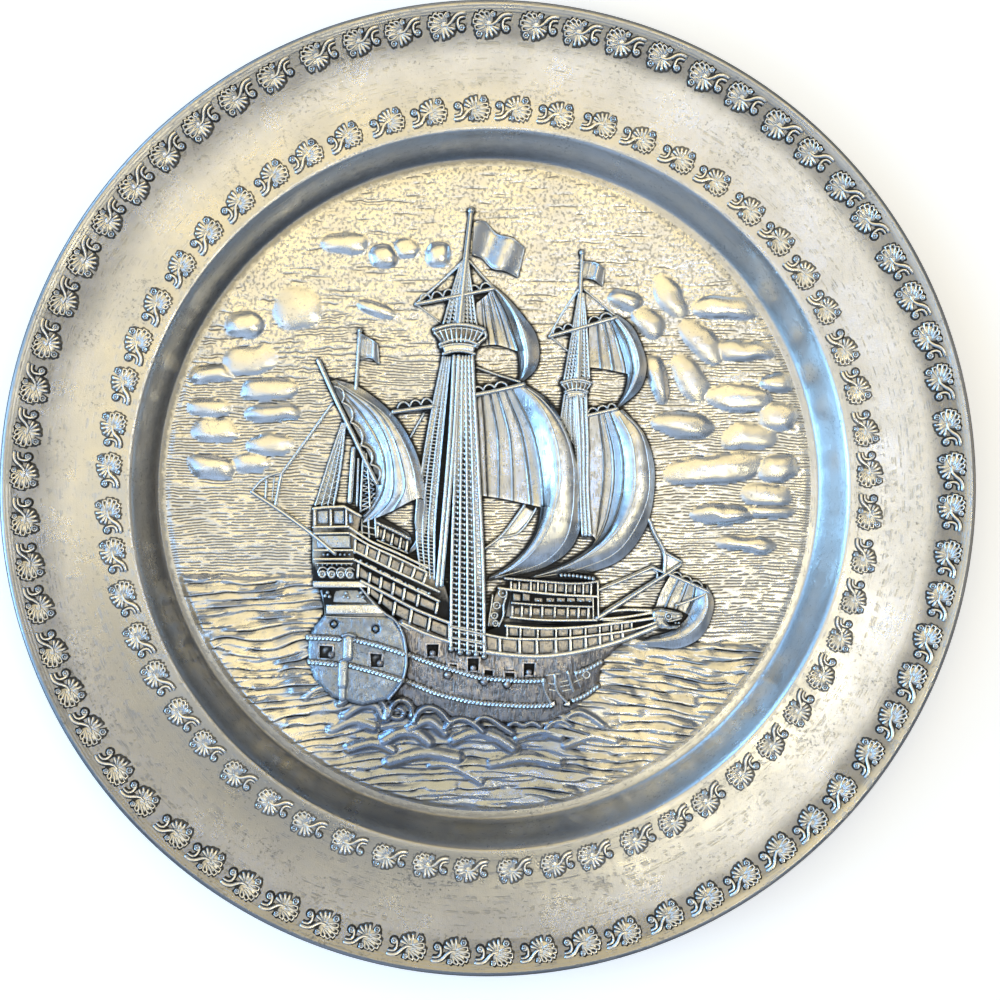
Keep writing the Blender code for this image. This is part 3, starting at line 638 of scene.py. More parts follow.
def cloud_height(across, up):
    """Banks of cloud, gentle above and steeper below."""
    across = across + 0.8 * noise(across, up, 5, 4, 11)
    up = up + 0.7 * noise(across, up, 5, 3.5, 12)
    height = np.zeros(across.shape)
    for number, (centre, length, width, turn) in enumerate(CLOUDS):
        c, s = cos(radians(turn)), sin(radians(turn))
        x, y = across - centre[0], up - centre[1]
        along = 2 * (x * c + y * s) / (1.12 * length)
        over = 2 * (-x * s + y * c) / (1.08 * width) + 0.08
        over = over / np.where(over < 0, 0.94, 1.06)
        body = np.clip(1 - over**2 - np.abs(along) ** 3, 0, 1) ** 0.8 * np.clip(1 - along**2, 0, 1) ** 0.2
        height = np.maximum(height, CLOUD_TOP * (0.8 + 0.2 * sin(number * 2.4)) * body)
    return height


def row_wander(across, up):
    """How far a row of the hatching strays from an even level."""
    rough = smoothstep(-20, -55, across) * smoothstep(10, 45, up)
    fine = (0.15 + 0.25 * rough) * noise(across, up, 1.9, 2.3, 23)
    return 1.0 * noise(across, up, 20, 12, 21) + 0.26 * noise(across, up, 5, 3.0, 22) + fine


def settled(level, up, wander):
    """Where a row passes that wanders from its level, found step by step."""
    for _ in range(12):
        up = level - wander(up)
    return up


def row_place(across, level):
    """Where a row of strokes passes, so that the cells of the sky follow it."""
    return settled(level, level, lambda up: row_wander(across, up))


def stroke_depth(across, up):
    """Fine strokes engraved across the sky: one at their deepest, nothing between, under zero on clouds."""
    rows = (up + row_wander(across, up)) / ROW_PITCH
    row = np.round(rows)
    cut = 0.5 + 0.5 * np.cos(2 * pi * rows)
    loose = smoothstep(26, 62, up)
    long = smoothstep(-1.15, -0.4, noise(across + 7.3 * (row % 11), row, 6.5, 1.0, 24) - 1.35 * loose)
    short = smoothstep(-1.15, -0.3, noise(across + 3.1 * (row % 7), row, 1.6, 1.0, 25))
    cloud = smoothstep(0.0, 0.08, cloud_height(across, up))
    return cut * long * short * (1 - cloud) - cloud


def ridge_bend(across):
    """How far the ridges sink towards both sides of the picture."""
    return 0.13 * np.hypot(across + 6, 26)


def ridge_wander(across, up, seed):
    """How far a ridge of the sea strays from an even level."""
    drift = 1.5 * noise(across, up, 16, 9, seed) + 0.75 * noise(across, up, 6.5, 4, seed + 1)
    return ridge_bend(across) + drift + 0.12 * noise(across, up, 3, 2.4, seed + 2)


def ridge_place(across, level):
    """Where a ridge passes, so that the cells of the sea follow it."""
    return settled(level, level - ridge_bend(across), lambda up: ridge_wander(across, up, RIDGE_SEED))


def ridges(across, up, pitch, seed):
    """Rows of waves: a deep narrow groove, a steep rise to a rounded crest, then a long gentle fall."""
    rows = (up + ridge_wander(across, up, seed)) / pitch
    row = np.floor(rows)
    share = rows - row
    crest = smoothstep(0.0, 0.14, share) * (1 - 0.8 * share**2) * smoothstep(1.0, 0.9, share)
    crest = crest + 0.12 * np.exp(-(((share - 0.22) / 0.08) ** 2))
    strength = 0.4 + 0.6 * smoothstep(-0.6, 0.2, noise(across + 11.7 * (row % 9), row, 8, 1.0, seed + 4))
    lumps = 1 + 0.14 * noise(across + 3.3 * (row % 5), row, 3.4, 1.0, seed + 5)
    return crest * strength * lumps


# Crests that curl up against the hull, and the swells under them: line, half width, height
CURLS = (
    (((-54.5, -60.6), (-52.0, -58.6), (-49, -57.6), (-45.8, -58.4), (-44.2, -60.4)), 1.2, 3.0),
    (((-44.4, -62.4), (-41.5, -60.4), (-37.6, -59.7), (-34.6, -61.2)), 1.3, 4.2),
    (((-34.0, -60.6), (-32.2, -62.0), (-31.0, -64.2), (-31.0, -67.0)), 1.2, 4.2),
    (((-30.0, -66.0), (-29.4, -63.4), (-27.4, -61.4), (-25.2, -61.6), (-23.4, -63.6), (-23.6, -66.2)),
     1.0, 4.3),
    (((-29.0, -66.6), (-26.8, -66.8), (-25.6, -65.2), (-27.0, -64.0)), 0.9, 3.6),
    (((-22.8, -68.0), (-21.4, -65.0), (-18.6, -63.5), (-15.4, -64.6), (-12.4, -68.0)), 1.1, 4.2),
    (((-13.4, -70.0), (-11.4, -67.8), (-8.0, -67.2), (-4.8, -68.8), (-2.4, -71.0)), 1.1, 3.9),
    (((-5.0, -68.4), (-2.6, -66.7), (0.2, -67.4), (3.0, -69.4), (6.4, -71.6)), 1.0, 3.7),
    (((5.4, -69.2), (7.2, -68.3), (9.4, -69.4), (12.2, -68.3), (14.6, -69.8)), 0.9, 3.2),
    (((16.4, -70.2), (18.6, -68.4), (21.0, -68.0), (23.8, -69.6)), 0.9, 2.9),
    (((20.0, -69.4), (23.0, -66.6), (26.0, -65.5), (29.2, -66.8), (33.4, -69.8)), 1.1, 2.7),
    (((-43.0, -66.2), (-38.0, -63.2), (-34.2, -63.2), (-32.0, -66.8)), 1.7, 2.9),
    (((-31.5, -73.8), (-27, -71.4), (-22, -71.6), (-18.4, -74.4)), 1.9, 2.6),
    (((-24.0, -70.2), (-18.5, -67.8), (-13.6, -71.4)), 1.8, 2.9),
    (((-11, -73.6), (-5, -71.6), (1.5, -73.0), (6.5, -76.2)), 1.8, 2.4),
    (((8.0, -73.2), (14.0, -71.4), (20.5, -73.0)), 1.5, 2.2),
    (((-47, -70.4), (-40, -67.8), (-34.5, -69.4)), 1.7, 2.3),
    (((-17.6, -81.0), (-12.6, -81.2), (-7.6, -83.6), (-3, -86.4)), 1.3, 1.5),
    (((-30, -80), (-20, -77.6), (-10, -79.2)), 1.9, 2.1),
    (((0, -81.2), (10, -79.4), (20, -81.0)), 1.7, 1.9), (((22, -75.6), (30, -73.0), (37, -74.4)), 1.4, 1.9),
    (((-42, -76), (-34, -74.4), (-29, -76.6)), 1.6, 2.0),
)


HULL_FOOT = ((-55, -58), (-44, -62), (-31, -62.5), (-19, -66), (-5, -69.5), (16, -70), (30, -66.5))


def curl_height(across, up):
    """The curled crests and the swells under them, nothing elsewhere."""
    height = np.zeros(across.shape)
    for line, half, top in CURLS:
        line, half = through(line, 12), 1.6 * half
        low, high = line.min(axis=0) - half, line.max(axis=0) + half
        near = (across > low[0]) & (across < high[0]) & (up > low[1]) & (up < high[1])
        if near.any():
            away = np.clip(distance_to(across[near], up[near], line) / half, 0, 1)
            height[near] = np.maximum(height[near], (0.5 + 0.6 * top) * (1 - away**2) ** 1.2)
    return height


def wave_height(across, up):
    """The sea: ridges that cross and join, swells at the middle of the foot, and curled crests."""
    deep = smoothstep(-60, -70, up) * smoothstep(38, 14, np.abs(across + 12))
    heave = 0.5 * smoothstep(9, 1, distance_to(across, up, np.array(HULL_FOOT, float)))
    first = ridges(across, up, RIDGE_PITCH, RIDGE_SEED)
    second = ridges(across + 0.2 * up, up + 0.07 * across, CROSSING_PITCH, CROSSING_SEED)
    swell = 0.2 * noise(across, up, 12, 7, 35) + deep * 0.4 * noise(across, up, 14, 3.4, 36)
    ripple = 0.03 * noise(across, up, 1.8, 0.9, 37)
    height = 0.15 + (1 - 0.3 * deep) * 1.25 * np.maximum(first, 0.84 * second) + swell + ripple + heave
    return np.maximum(height, curl_height(across, up) - 0.05 * noise(across, up, 1.5, 1.2, 38))


def sheltered(across, up):
    """The mask of the painted blue-grey shade on the sea: one where it lies close under the hull, nothing
    far away.
    """
    return smoothstep(-54, -64, up) * smoothstep(50, 26, np.abs(across + 8))


def ground_height(across, up):
    """The sky above the horizon and the sea below it, sinking to the floor at the picture's edge."""
    sea = smoothstep(0.9, -0.9, up - horizon(across))
    cut = STROKE_DEPTH * np.maximum(stroke_depth(across, up), 0)
    sky = 0.3 + cloud_height(across, up) - cut + 0.04 * noise(
        across, up, 1.7, 1.3, 42,
    ) + 0.1 * noise(across, up, 9, 7, 41)
    height = sky * (1 - sea) + wave_height(across, up) * sea
    edge = PICTURE_RADIUS - np.hypot(across, up)
    return EDGE_HEIGHT + (height - EDGE_HEIGHT) * smoothstep(-0.1, 1.6, edge)


def add_ground(sky_material, sea_material):
    """The picture's ground in three pieces, left out where the ship stands on it."""
    circle = arc((0, 0), PICTURE_RADIUS + 0.2, 0, 360, 361)[:-1]

    def left_sky(across, up):
        return (up > horizon(across)) & (across < SKY_SPLIT)

    def right_sky(across, up):
        return (up > horizon(across)) & (across >= SKY_SPLIT)

    def sea(across, up):
        return up <= horizon(across) + 0.6

    # The sea keeps the mask of its painted blue-grey shade under the hull
    for name, material, cells, rows, where, label, mark in (
        ("sky_left", sky_material, SKY_CELL, row_place, left_sky, "engraved", stroke_depth),
        ("sky_right", sky_material, SKY_CELL, row_place, right_sky, "engraved", stroke_depth),
        ("sea", sea_material, SEA_CELL, ridge_place, sea, "sheltered", sheltered),
    ):
        shape = Shape(name, material)
        shape.marks[label] = mark

        def keep(across, up):
            return where(across, up) & ~inside(across, up, HULL_CORE)

        relief(shape, circle, ground_height, *cells, keep=keep, rows=rows)


# ---------------------------------------------------------------- hull and stern

HULL_SIDE = (
    (-31, -60.9), (-27, -62.3), (-19.8, -64.8), (-13, -67.2), (-4.7, -68.6), (4.7, -69.0), (16, -69.0),
    (21.6, -66.8), (25.4, -65.0), (30.2, -61.6), (32.3, -57.5), (32.5, -54.0), (33.7, -50.4), (38.2, -46.2),
    (43, -42.8), (36, -43.2), (24, -45.2), (12, -46.4), (0, -45.5), (-10, -43.5), (-20, -39.5),
    (-26, -36.5), (-28.5, -38.5), (-26.2, -42), (-25.1, -46.5), (-25.0, -51), (-26.3, -55.6),
)
HULL_CORE = (
    (-50, -38), (-46, -10), (-38, -10), (-14, -26), (-3, -40), (30, -42), (28, -58), (8, -64), (-20, -60),
    (-44, -56),
)
TRANSOM = (
    (-48.8, -36.0), (-52.2, -39.8), (-54.3, -44.0), (-54.4, -48.0), (-53.9, -51.6), (-51.7, -56.2),
    (-47.0, -60.5), (-38.0, -63.0), (-30.4, -61.2), (-26.1, -55.8), (-24.8, -51.0), (-24.9, -46.5),
    (-26.0, -41.4), (-28.6, -37.4), (-31.5, -36.0),
)
TRANSOM_EDGE = (
    (-31.0, -35.9), (-28.6, -37.4), (-26.2, -41.2), (-25.1, -46.5), (-25.0, -51.0), (-26.3, -55.6),
    (-30.2, -60.8),
)
TRANSOM_TOP = 4.0
STERN_TOP = 4.3
RAIL_TOP = 5.2
CUSHION_SINK = 0.6
LOWER_MOULDING = (
    (-26.0, -55.4), (-21, -57.3), (-15.9, -59.4), (-10.4, -60.9), (-4, -62.2), (2.8, -62.8), (10, -63.3),
    (17.9, -63.2),
)
UPPER_MOULDING = (
    (-25.2, -47.6), (-20, -49.4), (-15.2, -51.1), (-8.4, -53.2), (-2.6, -54.8), (2.8, -55.3), (9, -55.8),
    (15.6, -55.7),
)


# Openings in the hull's side and in the transom: middle, width, drop
SIDE_PORTS = (
    (-17.2, -46.6, 3.2, 3.0), (-5.3, -51.0, 3.0, 3.4), (11.1, -52.4, 3.0, 3.0), (-11.3, -51.3, 2.0, 1.6),
    (-0.9, -53.1, 2.2, 1.6), (5.3, -53.9, 2.4, 1.6),
)
STERN_PORTS = ((-48.4, -47.0, 3.6, 3.4), (-33.8, -49.4, 3.4, 3.6))


def box_distance(across, up, box):
    """How far each place is outside an upright box."""
    u, v, width, drop = box
    return np.hypot(np.maximum(np.abs(across - u) - width / 2, 0), np.maximum(np.abs(up - v) - drop / 2, 0))


def openings(across, up, ports):
    """One inside the ports, nothing outside them."""
    return sum(smoothstep(0.25, 0, box_distance(across, up, port)) for port in ports)


def hull_height(across, up):
    """The hull's swell: low at the water, fullest below the rails, falling away to the bow."""
    foot = -69 + 0.0095 * (across - 4) ** 2
    share = np.clip((up - foot) / 26, 0, 1)
    swell = 2.0 + 2.2 * np.sin(np.minimum(share / 0.75, 1) * pi / 2) - 0.5 * smoothstep(0.7, 1.0, share)
    return swell - 1.7 * smoothstep(18, 36, across) ** 1.5


def add_hull_side(material):
    def height(across, up):
        grain = 0.12 * noise(across + 0.25 * noise(across, up, 4, 4, 51), up, 0.5, 2.4, 52)
        chatter = 0.05 * noise(across, up, 0.9, 0.7, 53) + 0.12 * noise(across, up, 7, 5, 54)
        cut = 1.3 * np.minimum(openings(across, up, SIDE_PORTS), 1)
        return hull_height(across, up) + grain + chatter - cut - rounding(across, up, HULL_SIDE, 1.6)

    relief(Shape("hull_side", material), HULL_SIDE, height, cell=0.27, cell_up=0.5)


def along_hull(lift):
    """The height of a fitting that follows the hull's side."""
    return lambda across, up: hull_height(across, up) + lift


def hull_top(u, v, lift=0.0):
    """The height of a fitting that stands at one place of the hull's side."""
    return float(hull_height(u, v)) + lift


STRAND = (1.15, 0.32)
HULL_ROPES = (
    LOWER_MOULDING, UPPER_MOULDING, ((24.3, -61.9), (28, -60.2), (31.6, -57.8)),
    ((25.0, -53.6), (29, -52.2), (32.4, -50.4)),
)
STERN_ROPES = (
    ((-53.8, -42.9), (-49, -42.9), (-44.3, -43.2)), ((-40.2, -43.3), (-32.1, -45.3), (-25.6, -47.4)),
    ((-53.4, -50.1), (-49, -50.3), (-45.7, -50.7)), ((-41.3, -51.0), (-34.7, -52.7), (-26.3, -55.3)),
)

# The anchor and its lashings: line, width
ANCHOR = (
    (((15.4, -55.4), (15.6, -58.5), (17.6, -62.6)), 0.95),
    (((18.7, -54.2), (19.4, -59.0), (22.3, -62.4)), 0.95),
    (((22.5, -53.3), (23.2, -56.0), (24.2, -59.0)), 1.0), (((17.0, -56.6), (18.6, -57.0)), 0.6),
    (((17.2, -58.5), (19.0, -58.9)), 0.6), (((20.3, -56.3), (22.4, -55.9)), 0.6),
    (((20.6, -57.6), (22.9, -57.2)), 0.6), (((21.2, -59.0), (23.4, -58.6)), 0.6),
    (((16.5, -54.2), (20.2, -53.8)), 0.7), (((24.8, -54.2), (26.3, -57.8)), 0.6),
    (((24.5, -56.4), (26.9, -55.4)), 0.6),
)


def add_hull_fittings(material, dark, frames):
    """Rope mouldings with a painted shadow outline under them, gunports with their lids, the anchor and the
    hawse hole.
    """
    # The wide dark bars laid under each rope are a painted shadow outline along both sides of it
    mouldings, rope_shadows = Shape("rope_mouldings", material), Shape("rope_painted_shadows", dark)
    for ropes, on, width, shadow_width, sink in (
        (HULL_ROPES, along_hull, 1.3, 2.1, 0.2), (STERN_ROPES, on_transom, 1.25, 2.0, 0.25),
    ):
        for line in ropes:
            mouldings.bar(line, width, on(0.85), rope=STRAND, square=0.8)
            rope_shadows.bar(line, shadow_width, on(sink), square=0.3, step=1.5)
    ports = Shape("gunports", frames)
    for u, v, width, drop in ((-17.2, -46.6, 4.0, 4.0), (-5.3, -51.0, 3.8, 4.4), (11.1, -52.4, 3.8, 4.0)):
        top = hull_top(u, v)
        left, right, low, high = u - width / 2, u + width / 2, v - drop / 2, v + drop / 2
        ports.chain([(left, low), (left, high), (right, high), (right - 0.3, low)], 0.6, top + 0.65)
        ports.bead((u - 0.1, v - 0.9), 0.95, top + 1.15)
        ports.bar([(u - 0.9, v - 1.9), (u + 0.9, v - 1.9)], 0.6, top + 0.6)
    for u, v, width in ((-11.3, -51.3, 2.7), (-0.9, -53.1, 3.0), (5.3, -53.9, 3.3)):
        left, right = u - width / 2, u + width / 2
        corners = [(left, v - 1.1), (left + 0.1, v + 0.9), (right, v + 0.7), (right + 0.1, v - 0.9)]
        ports.chain(corners, 0.6, hull_top(u, v, 0.8))
    for u, v in ((-12.8, -53.9), (-2.1, -56.0), (4.6, -56.8)):
        top = hull_top(u, v)
        ports.bead((u, v), 1.15, top + 1.35)
        ports.bar([(u + 0.9, v - 1.3), (u + 1.3, v - 0.6)], 0.5, top + 0.5)
        ports.bar([(u - 0.9, v + 1.2), (u + 0.4, v + 1.4)], 0.5, top + 0.6)
    for corners in (
        ((-50.8, -48.4), (-50.6, -44.9), (-46.3, -45.1), (-46.6, -49.0)),
        ((-35.6, -51.2), (-35.8, -47.1), (-31.8, -47.4), (-32.3, -51.4)),
    ):
        left, high, right, low = (np.array(corner) for corner in corners)
        ports.chain([left, high, right, 0.5 * (right + low)], 0.62, on_transom(0.75))
        knob = low * 0.72 + right * 0.28 - (0.5, 0.0)
        ports.bead(knob, 1.0, float(transom_height(*knob)) + 0.9)
    anchor = Shape("anchor", material)
    for line, width in ANCHOR:
        anchor.bar(line, width, along_hull(0.95 if width > 0.9 else 0.6))
    for u, v in ((18.1, -62.8), (22.6, -62.9)):
        anchor.panel(
            [(u - 1.5, v - 0.3), (u + 0.6, v + 1.0), (u + 0.9, v - 0.9)], hull_top(u, v, 0.95), edge=0.4,
        )
    anchor.ring((28.1, -54.3), 1.0, 0.6, hull_top(28.1, -54.3, 0.6))


def transom_height(across, up):
    """The transom's face, leaning away to the left."""
    return TRANSOM_TOP + 0.11 * (across + 38) - 0.02 * np.maximum(-48 - across, 0) ** 2


def on_transom(lift):
    return lambda across, up: transom_height(across, up) + lift


def add_transom(material):
    """The round stern below the sills, pebbled, with its raised edge, portholes and rudder."""
    transom = Shape("transom", material)

    def height(across, up):
        pebble = 0.05 * noise(across, up, 0.9, 0.9, 61) + 0.08 * noise(across, up, 4, 4, 62)
        holes = np.minimum(np.hypot(across + 46.1, up + 38.9), np.hypot(across + 33.9, up + 40.3))
        hole = -0.7 * smoothstep(1.35, 1.0, holes) + 0.55 * smoothstep(1.0, 0.6, holes)
        cut = 1.1 * openings(across, up, STERN_PORTS)
        return transom_height(across, up) + pebble + hole - cut - rounding(across, up, TRANSOM, 1.3)

    relief(transom, TRANSOM, height, cell=0.36)
    transom.bar(TRANSOM_EDGE, 0.8, on_transom(0.5))
    rudder = Shape("rudder", material)
    rudder.bar([(-41.9, -43.0), (-42.1, -48.6)], 3.1, on_transom(1.7), square=0.55)
    rudder.bar([(-43.4, -50.4), (-43.7, -57.0)], 3.0, on_transom(1.4), square=0.55)
    rudder.bar([(-43.7, -57.6), (-43.7, -60.6)], 2.2, on_transom(1.2), square=0.6)
    rudder.bar([(-43.6, -42.2), (-42.2, -41.7), (-39.9, -42.2)], 0.8, on_transom(2.1))


def posts_and_panels(shape, panels, posts, top, width):
    """Posts, each from an upper to a lower place, with a cushioned panel between each two."""
    for post in posts:
        shape.bar(post, width, top, square=0.7, straight=True)
    for (a, d), (b, c) in zip(posts, posts[1:]):
        a, b, c, d = (np.array(corner, float) for corner in (a, b, c, d))
        wide = hypot(*(b - a))
        s, t = (0.42 + 0.05 * wide) / max(wide, 1.6), 0.25 / max(hypot(*(d - a)), 1.2)
        corners = [
            (a * (1 - x) + b * x) * (1 - y) + (d * (1 - x) + c * x) * y
            for x, y in ((s, 1 - t), (1 - s, 1 - t), (1 - s, t), (s, t))
        ]
        panels.panel(corners, top - CUSHION_SINK, edge=0.45)


STERN_WALL = (
    (-52.2, -5.4), (-52.4, -20.0), (-51.8, -26.5), (-49.6, -28.5), (-48.8, -36.6), (-30, -36.6),
    (-38.0, -28.0), (-40.4, -18.0), (-38.2, -7.6), (-43, -4.8),
)
STERN_TRIM = (
    (((-52.0, -5.0), (-49.0, -4.6), (-43.0, -4.4), (-38.2, -7.2)), 0.8),
    (((-52.0, -10.4), (-41.6, -10.2)), 0.75), (((-51.6, -12.2), (-41.6, -12.1)), 0.7),
    (((-51.9, -17.1), (-40.4, -17.1)), 0.65), (((-51.9, -19.7), (-40.2, -19.7)), 0.75),
    (((-51.3, -20.9), (-40.6, -21.0)), 0.4),
)


def stern_face(lift, lean=0.12):
    """A face of the stern, leaning away to the left."""
    return lambda across, up: STERN_TOP + lift + lean * (across + 46)


def add_sterncastle(material, dark, stern):
    """The stern above the transom: gallery, broad panel, scrolls, sills and rails. Its panels are
    blue-tinted, a painted reflection of the window light.
    """
    wall = Shape("stern_wall", dark)
    panels = Shape("stern_panels", stern)
    wall.panel(STERN_WALL, stern_face(-0.9, 0.09))
    trim = Shape("stern_trim", material)
    trim.bars(STERN_TRIM, RAIL_TOP, square=0.7, straight=True)
    panels.panel([(-51.0, -16.5), (-41.2, -16.5), (-41.2, -12.8), (-51.0, -12.8)], stern_face(0), edge=0.4)
    for left, right in ((-51.0, -47.6), (-46.2, -43.0)):
        panels.panel([(left, -9.6), (right, -9.6), (right, -5.4), (left, -5.4)], stern_face(0), edge=0.7)
    panels.panel([(-41.8, -9.4), (-40.2, -9.2), (-40.6, -6.6), (-41.8, -6.4)], stern_face(0), edge=0.5)
    panels.panel(
        [(-51.4, -25.9), (-50.0, -22.2), (-41.0, -22.2), (-39.6, -25.9)], stern_face(-0.9), edge=0.4,
    )
    panels.panel(
        [(-49.2, -32.6), (-50.2, -28.8), (-39.2, -28.8), (-36.2, -32.6)], stern_face(-0.9), edge=0.4,
    )
    for u in (-51.6, -46.9, -42.4):
        trim.bar([(u, -5.4), (u, -9.8)], 0.7, RAIL_TOP, square=0.7, straight=True)
    trim.beads([(u, -18.4) for u in (-49.0, -47.8, -45.6, -44.2, -42.9, -41.4)], 0.42, STERN_TOP + 0.7)
    trim.beads([(u, -21.4) for u in np.linspace(-50.8, -41, 8)], 0.25, STERN_TOP + 0.4)
    for u in (-49.4, -46.7, -44.0, -41.4):
        v = -23.8 - 0.03 * (u + 49)
        trim.ring((u, v - 0.3), 0.85, 0.75, STERN_TOP + 0.8)
        trim.bar(arc((u + 0.1, v + 0.4), 1.35, 205, 30, 8), [0.4, 0.6, 0.5, 0.3], STERN_TOP + 0.7)
        trim.bead((u, v - 0.3), 0.4, STERN_TOP + 0.6)
    for left, right, high, low in ((-52.2, -38.6, -26.1, -28.0), (-48.4, -33.6, -33.0, -35.8)):
        trim.panel([(left, low), (right + 2.5, low), (right, high), (left, high)], RAIL_TOP + 0.1, edge=0.4)
    trim.bar([(-48.4, -36.6), (-40, -36.9), (-31.5, -36.9)], 0.45, TRANSOM_TOP + 0.35)
    for middle in ((-47.9, -30.2), (-42.4, -30.5), (-38.2, -30.4)):
        trim.beads(round_about(middle, 0.75, np.radians([90, 200, 320])), 0.55, STERN_TOP + 0.7)
    trim.bar(
        [(-38.6, -27.6), (-36.6, -30.2), (-33.4, -33.8), (-28.8, -37.4), (-24.0, -40.6)], 0.7, RAIL_TOP,
    )


QUARTERDECK = (
    (-42, -11), (-36, -15), (-29, -18.6), (-18, -23.8), (-13.5, -28), (-12.3, -32), (-11.8, -43.4),
    (-20.0, -41.4), (-25.5, -38.6), (-31.0, -34.6), (-38.4, -28.2), (-41, -20),
)
QUARTERDECK_RAILS = (
    (((-41.6, -10.3), (-35.9, -14.2), (-27, -18.3), (-18.6, -22.4)), 0.75),
    (((-41.4, -12.2), (-36.6, -15.2), (-28, -19.2), (-19.0, -23.6)), 0.7),
    (((-40.3, -17.2), (-30, -22.4), (-15.3, -29.4)), 0.75),
    (((-40.2, -19.8), (-30, -25.0), (-15.4, -32.2)), 0.8),
    (((-38.1, -26.2), (-31.0, -29.9), (-23.0, -34.2), (-11.8, -38.8)), 1.0),
    (((-26, -38.6), (-20.0, -41.4), (-12.2, -44.2)), 1.0),
)

# Three strips of posts, each post from an upper to a lower place
QUARTERDECK_POSTS = (
    (((-39.8, -14.3), (-40.0, -17.8)), ((-36.2, -15.8), (-36.8, -19.0)),
     ((-32.8, -17.6), (-33.6, -20.6)), ((-29.4, -19.2), (-30.2, -22.4)),
     ((-26.0, -21.0), (-26.8, -24.0)), ((-22.4, -22.6), (-23.4, -25.4)), ((-19.0, -24.0), (-20.0, -27.0))),
    (((-38.9, -21.4), (-39.2, -25.0)), ((-35.5, -24.0), (-35.8, -26.4)),
     ((-32.2, -25.3), (-32.6, -28.2)), ((-28.6, -27.0), (-29.0, -30.0)),
     ((-25.4, -28.6), (-25.9, -31.6)), ((-21.3, -30.4), (-21.8, -33.4)), ((-15.8, -32.8), (-16.3, -35.6))),
    (((-35.9, -27.6), (-36.0, -30.0)), ((-32.2, -30.2), (-32.8, -32.6)),
     ((-28.2, -32.6), (-28.8, -36.0)), ((-23.4, -34.8), (-24.0, -38.6)),
     ((-18.0, -37.2), (-18.6, -40.8)), ((-12.4, -39.4), (-12.4, -43.4))),
)


def add_quarterdeck(material, dark, panels):
    """The side of the after decks, stepping down from the stern to the waist."""
    Shape("quarterdeck_side", dark).panel(QUARTERDECK, 3.0)
    rails = Shape("quarterdeck_rails", material)
    rails.bars(QUARTERDECK_RAILS, RAIL_TOP - 0.2, square=0.7)
    for posts in QUARTERDECK_POSTS:
        posts_and_panels(rails, panels, posts, RAIL_TOP - 0.3, width=0.85)
    studs = (
        (-38.2, -20.3), (-36.5, -21.2), (-32.4, -23.4), (-28.7, -25.3), (-25.2, -27.0), (-21.4, -28.6),
        (-18.2, -29.9),
    )
    rails.beads(studs, 0.5, RAIL_TOP - 0.3)
    for u, v in ((-34.6, -22.1), (-30.6, -24.2), (-27.0, -26.0), (-23.4, -27.8), (-19.8, -29.3)):
        rails.bar([(u - 0.8, v + 0.4), (u + 0.8, v - 0.4)], 0.7, RAIL_TOP - 0.7)


def add_after_rail(material, dark, panels):
    """The small balustrade seen through the arch of the mizzen sail."""
    rail = Shape("after_rail", material)
    side = ((-40, -9.5), (-37, -7.8), (-33, -7.2), (-24.2, -12.4), (-23, -15), (-25.0, -18.6), (-36, -13.6))
    rail.panel(side, 1.2)
    rail.bar([(-33.6, -9.2), (-28, -11.8), (-24.0, -13.9)], 1.05, 3.0, rope=(1.1, 0.12))
    rail.bar([(-33.4, -14.4), (-24.6, -18.2)], 0.6, 2.6)
    posts = [
        ((-33.2, -10.4), (-33.4, -13.4)), ((-31.2, -11.4), (-31.8, -14.4)),
        ((-28.8, -12.7), (-29.4, -15.6)),
        ((-26.4, -13.8), (-27.0, -16.8)), ((-24.6, -14.8), (-25.0, -17.6)),
    ]
    posts_and_panels(rail, panels, posts, 2.7, width=0.7)
    rail.beads([lower for _, lower in posts[1:]], 0.5, 2.9)
    for u, v in ((-38.0, -8.2), (-36.0, -8.0), (-34.0, -7.8)):
        rail.bar([(u, v), (u + 0.2, v - 5.6)], 0.65, 3.0, straight=True)
    for v in (-10.3, -12.2):
        rail.bar([(-39.6, v + 0.6), (-34.2, v - 0.6)], 0.5, 2.9)


# ---------------------------------------------------------------- waist, forecastle and bow


BULWARK = (
    (-13, -38.8), (-2, -41.5), (4, -39.0), (25, -40.0), (45, -37.8), (48.6, -37.6), (49.0, -39.8),
    (45, -42.4), (37, -45.2), (28, -47.4), (14.5, -49.0), (-1.2, -47.8), (-12.5, -44.6),
)
MIDDLE_RAIL = (
    (-2.4, -41.8), (2.7, -42.9), (13.6, -43.5), (23.5, -43.2), (31, -42.4), (38.6, -41.4), (45.1, -39.9),
    (48.6, -38.7),
)
LOWER_RAIL = (
    (-1.4, -47.2), (6, -48.2), (14.5, -48.6), (22, -47.9), (28.0, -46.8), (37.1, -44.4), (45.1, -41.4),
    (48.7, -39.9),
)
BULWARK_RAILS = (
    (MIDDLE_RAIL, 0.8, RAIL_TOP), (LOWER_RAIL, 1.5, RAIL_TOP),
    (((4.2, -39.5), (14, -40.3), (25.0, -40.1), (36, -39.0), (45.1, -37.9), (48.4, -37.4)), 0.9, RAIL_TOP),
    (((5.6, -37.0), (14, -37.8), (31, -38.0)), 0.7, RAIL_TOP - 0.2),
    (((31, -37.9), (38, -37.4), (47.6, -36.0)), 0.8, 3.8),
    (((32.4, -36.4), (37, -35.4), (47.4, -35.4)), 0.8, 3.2),
)


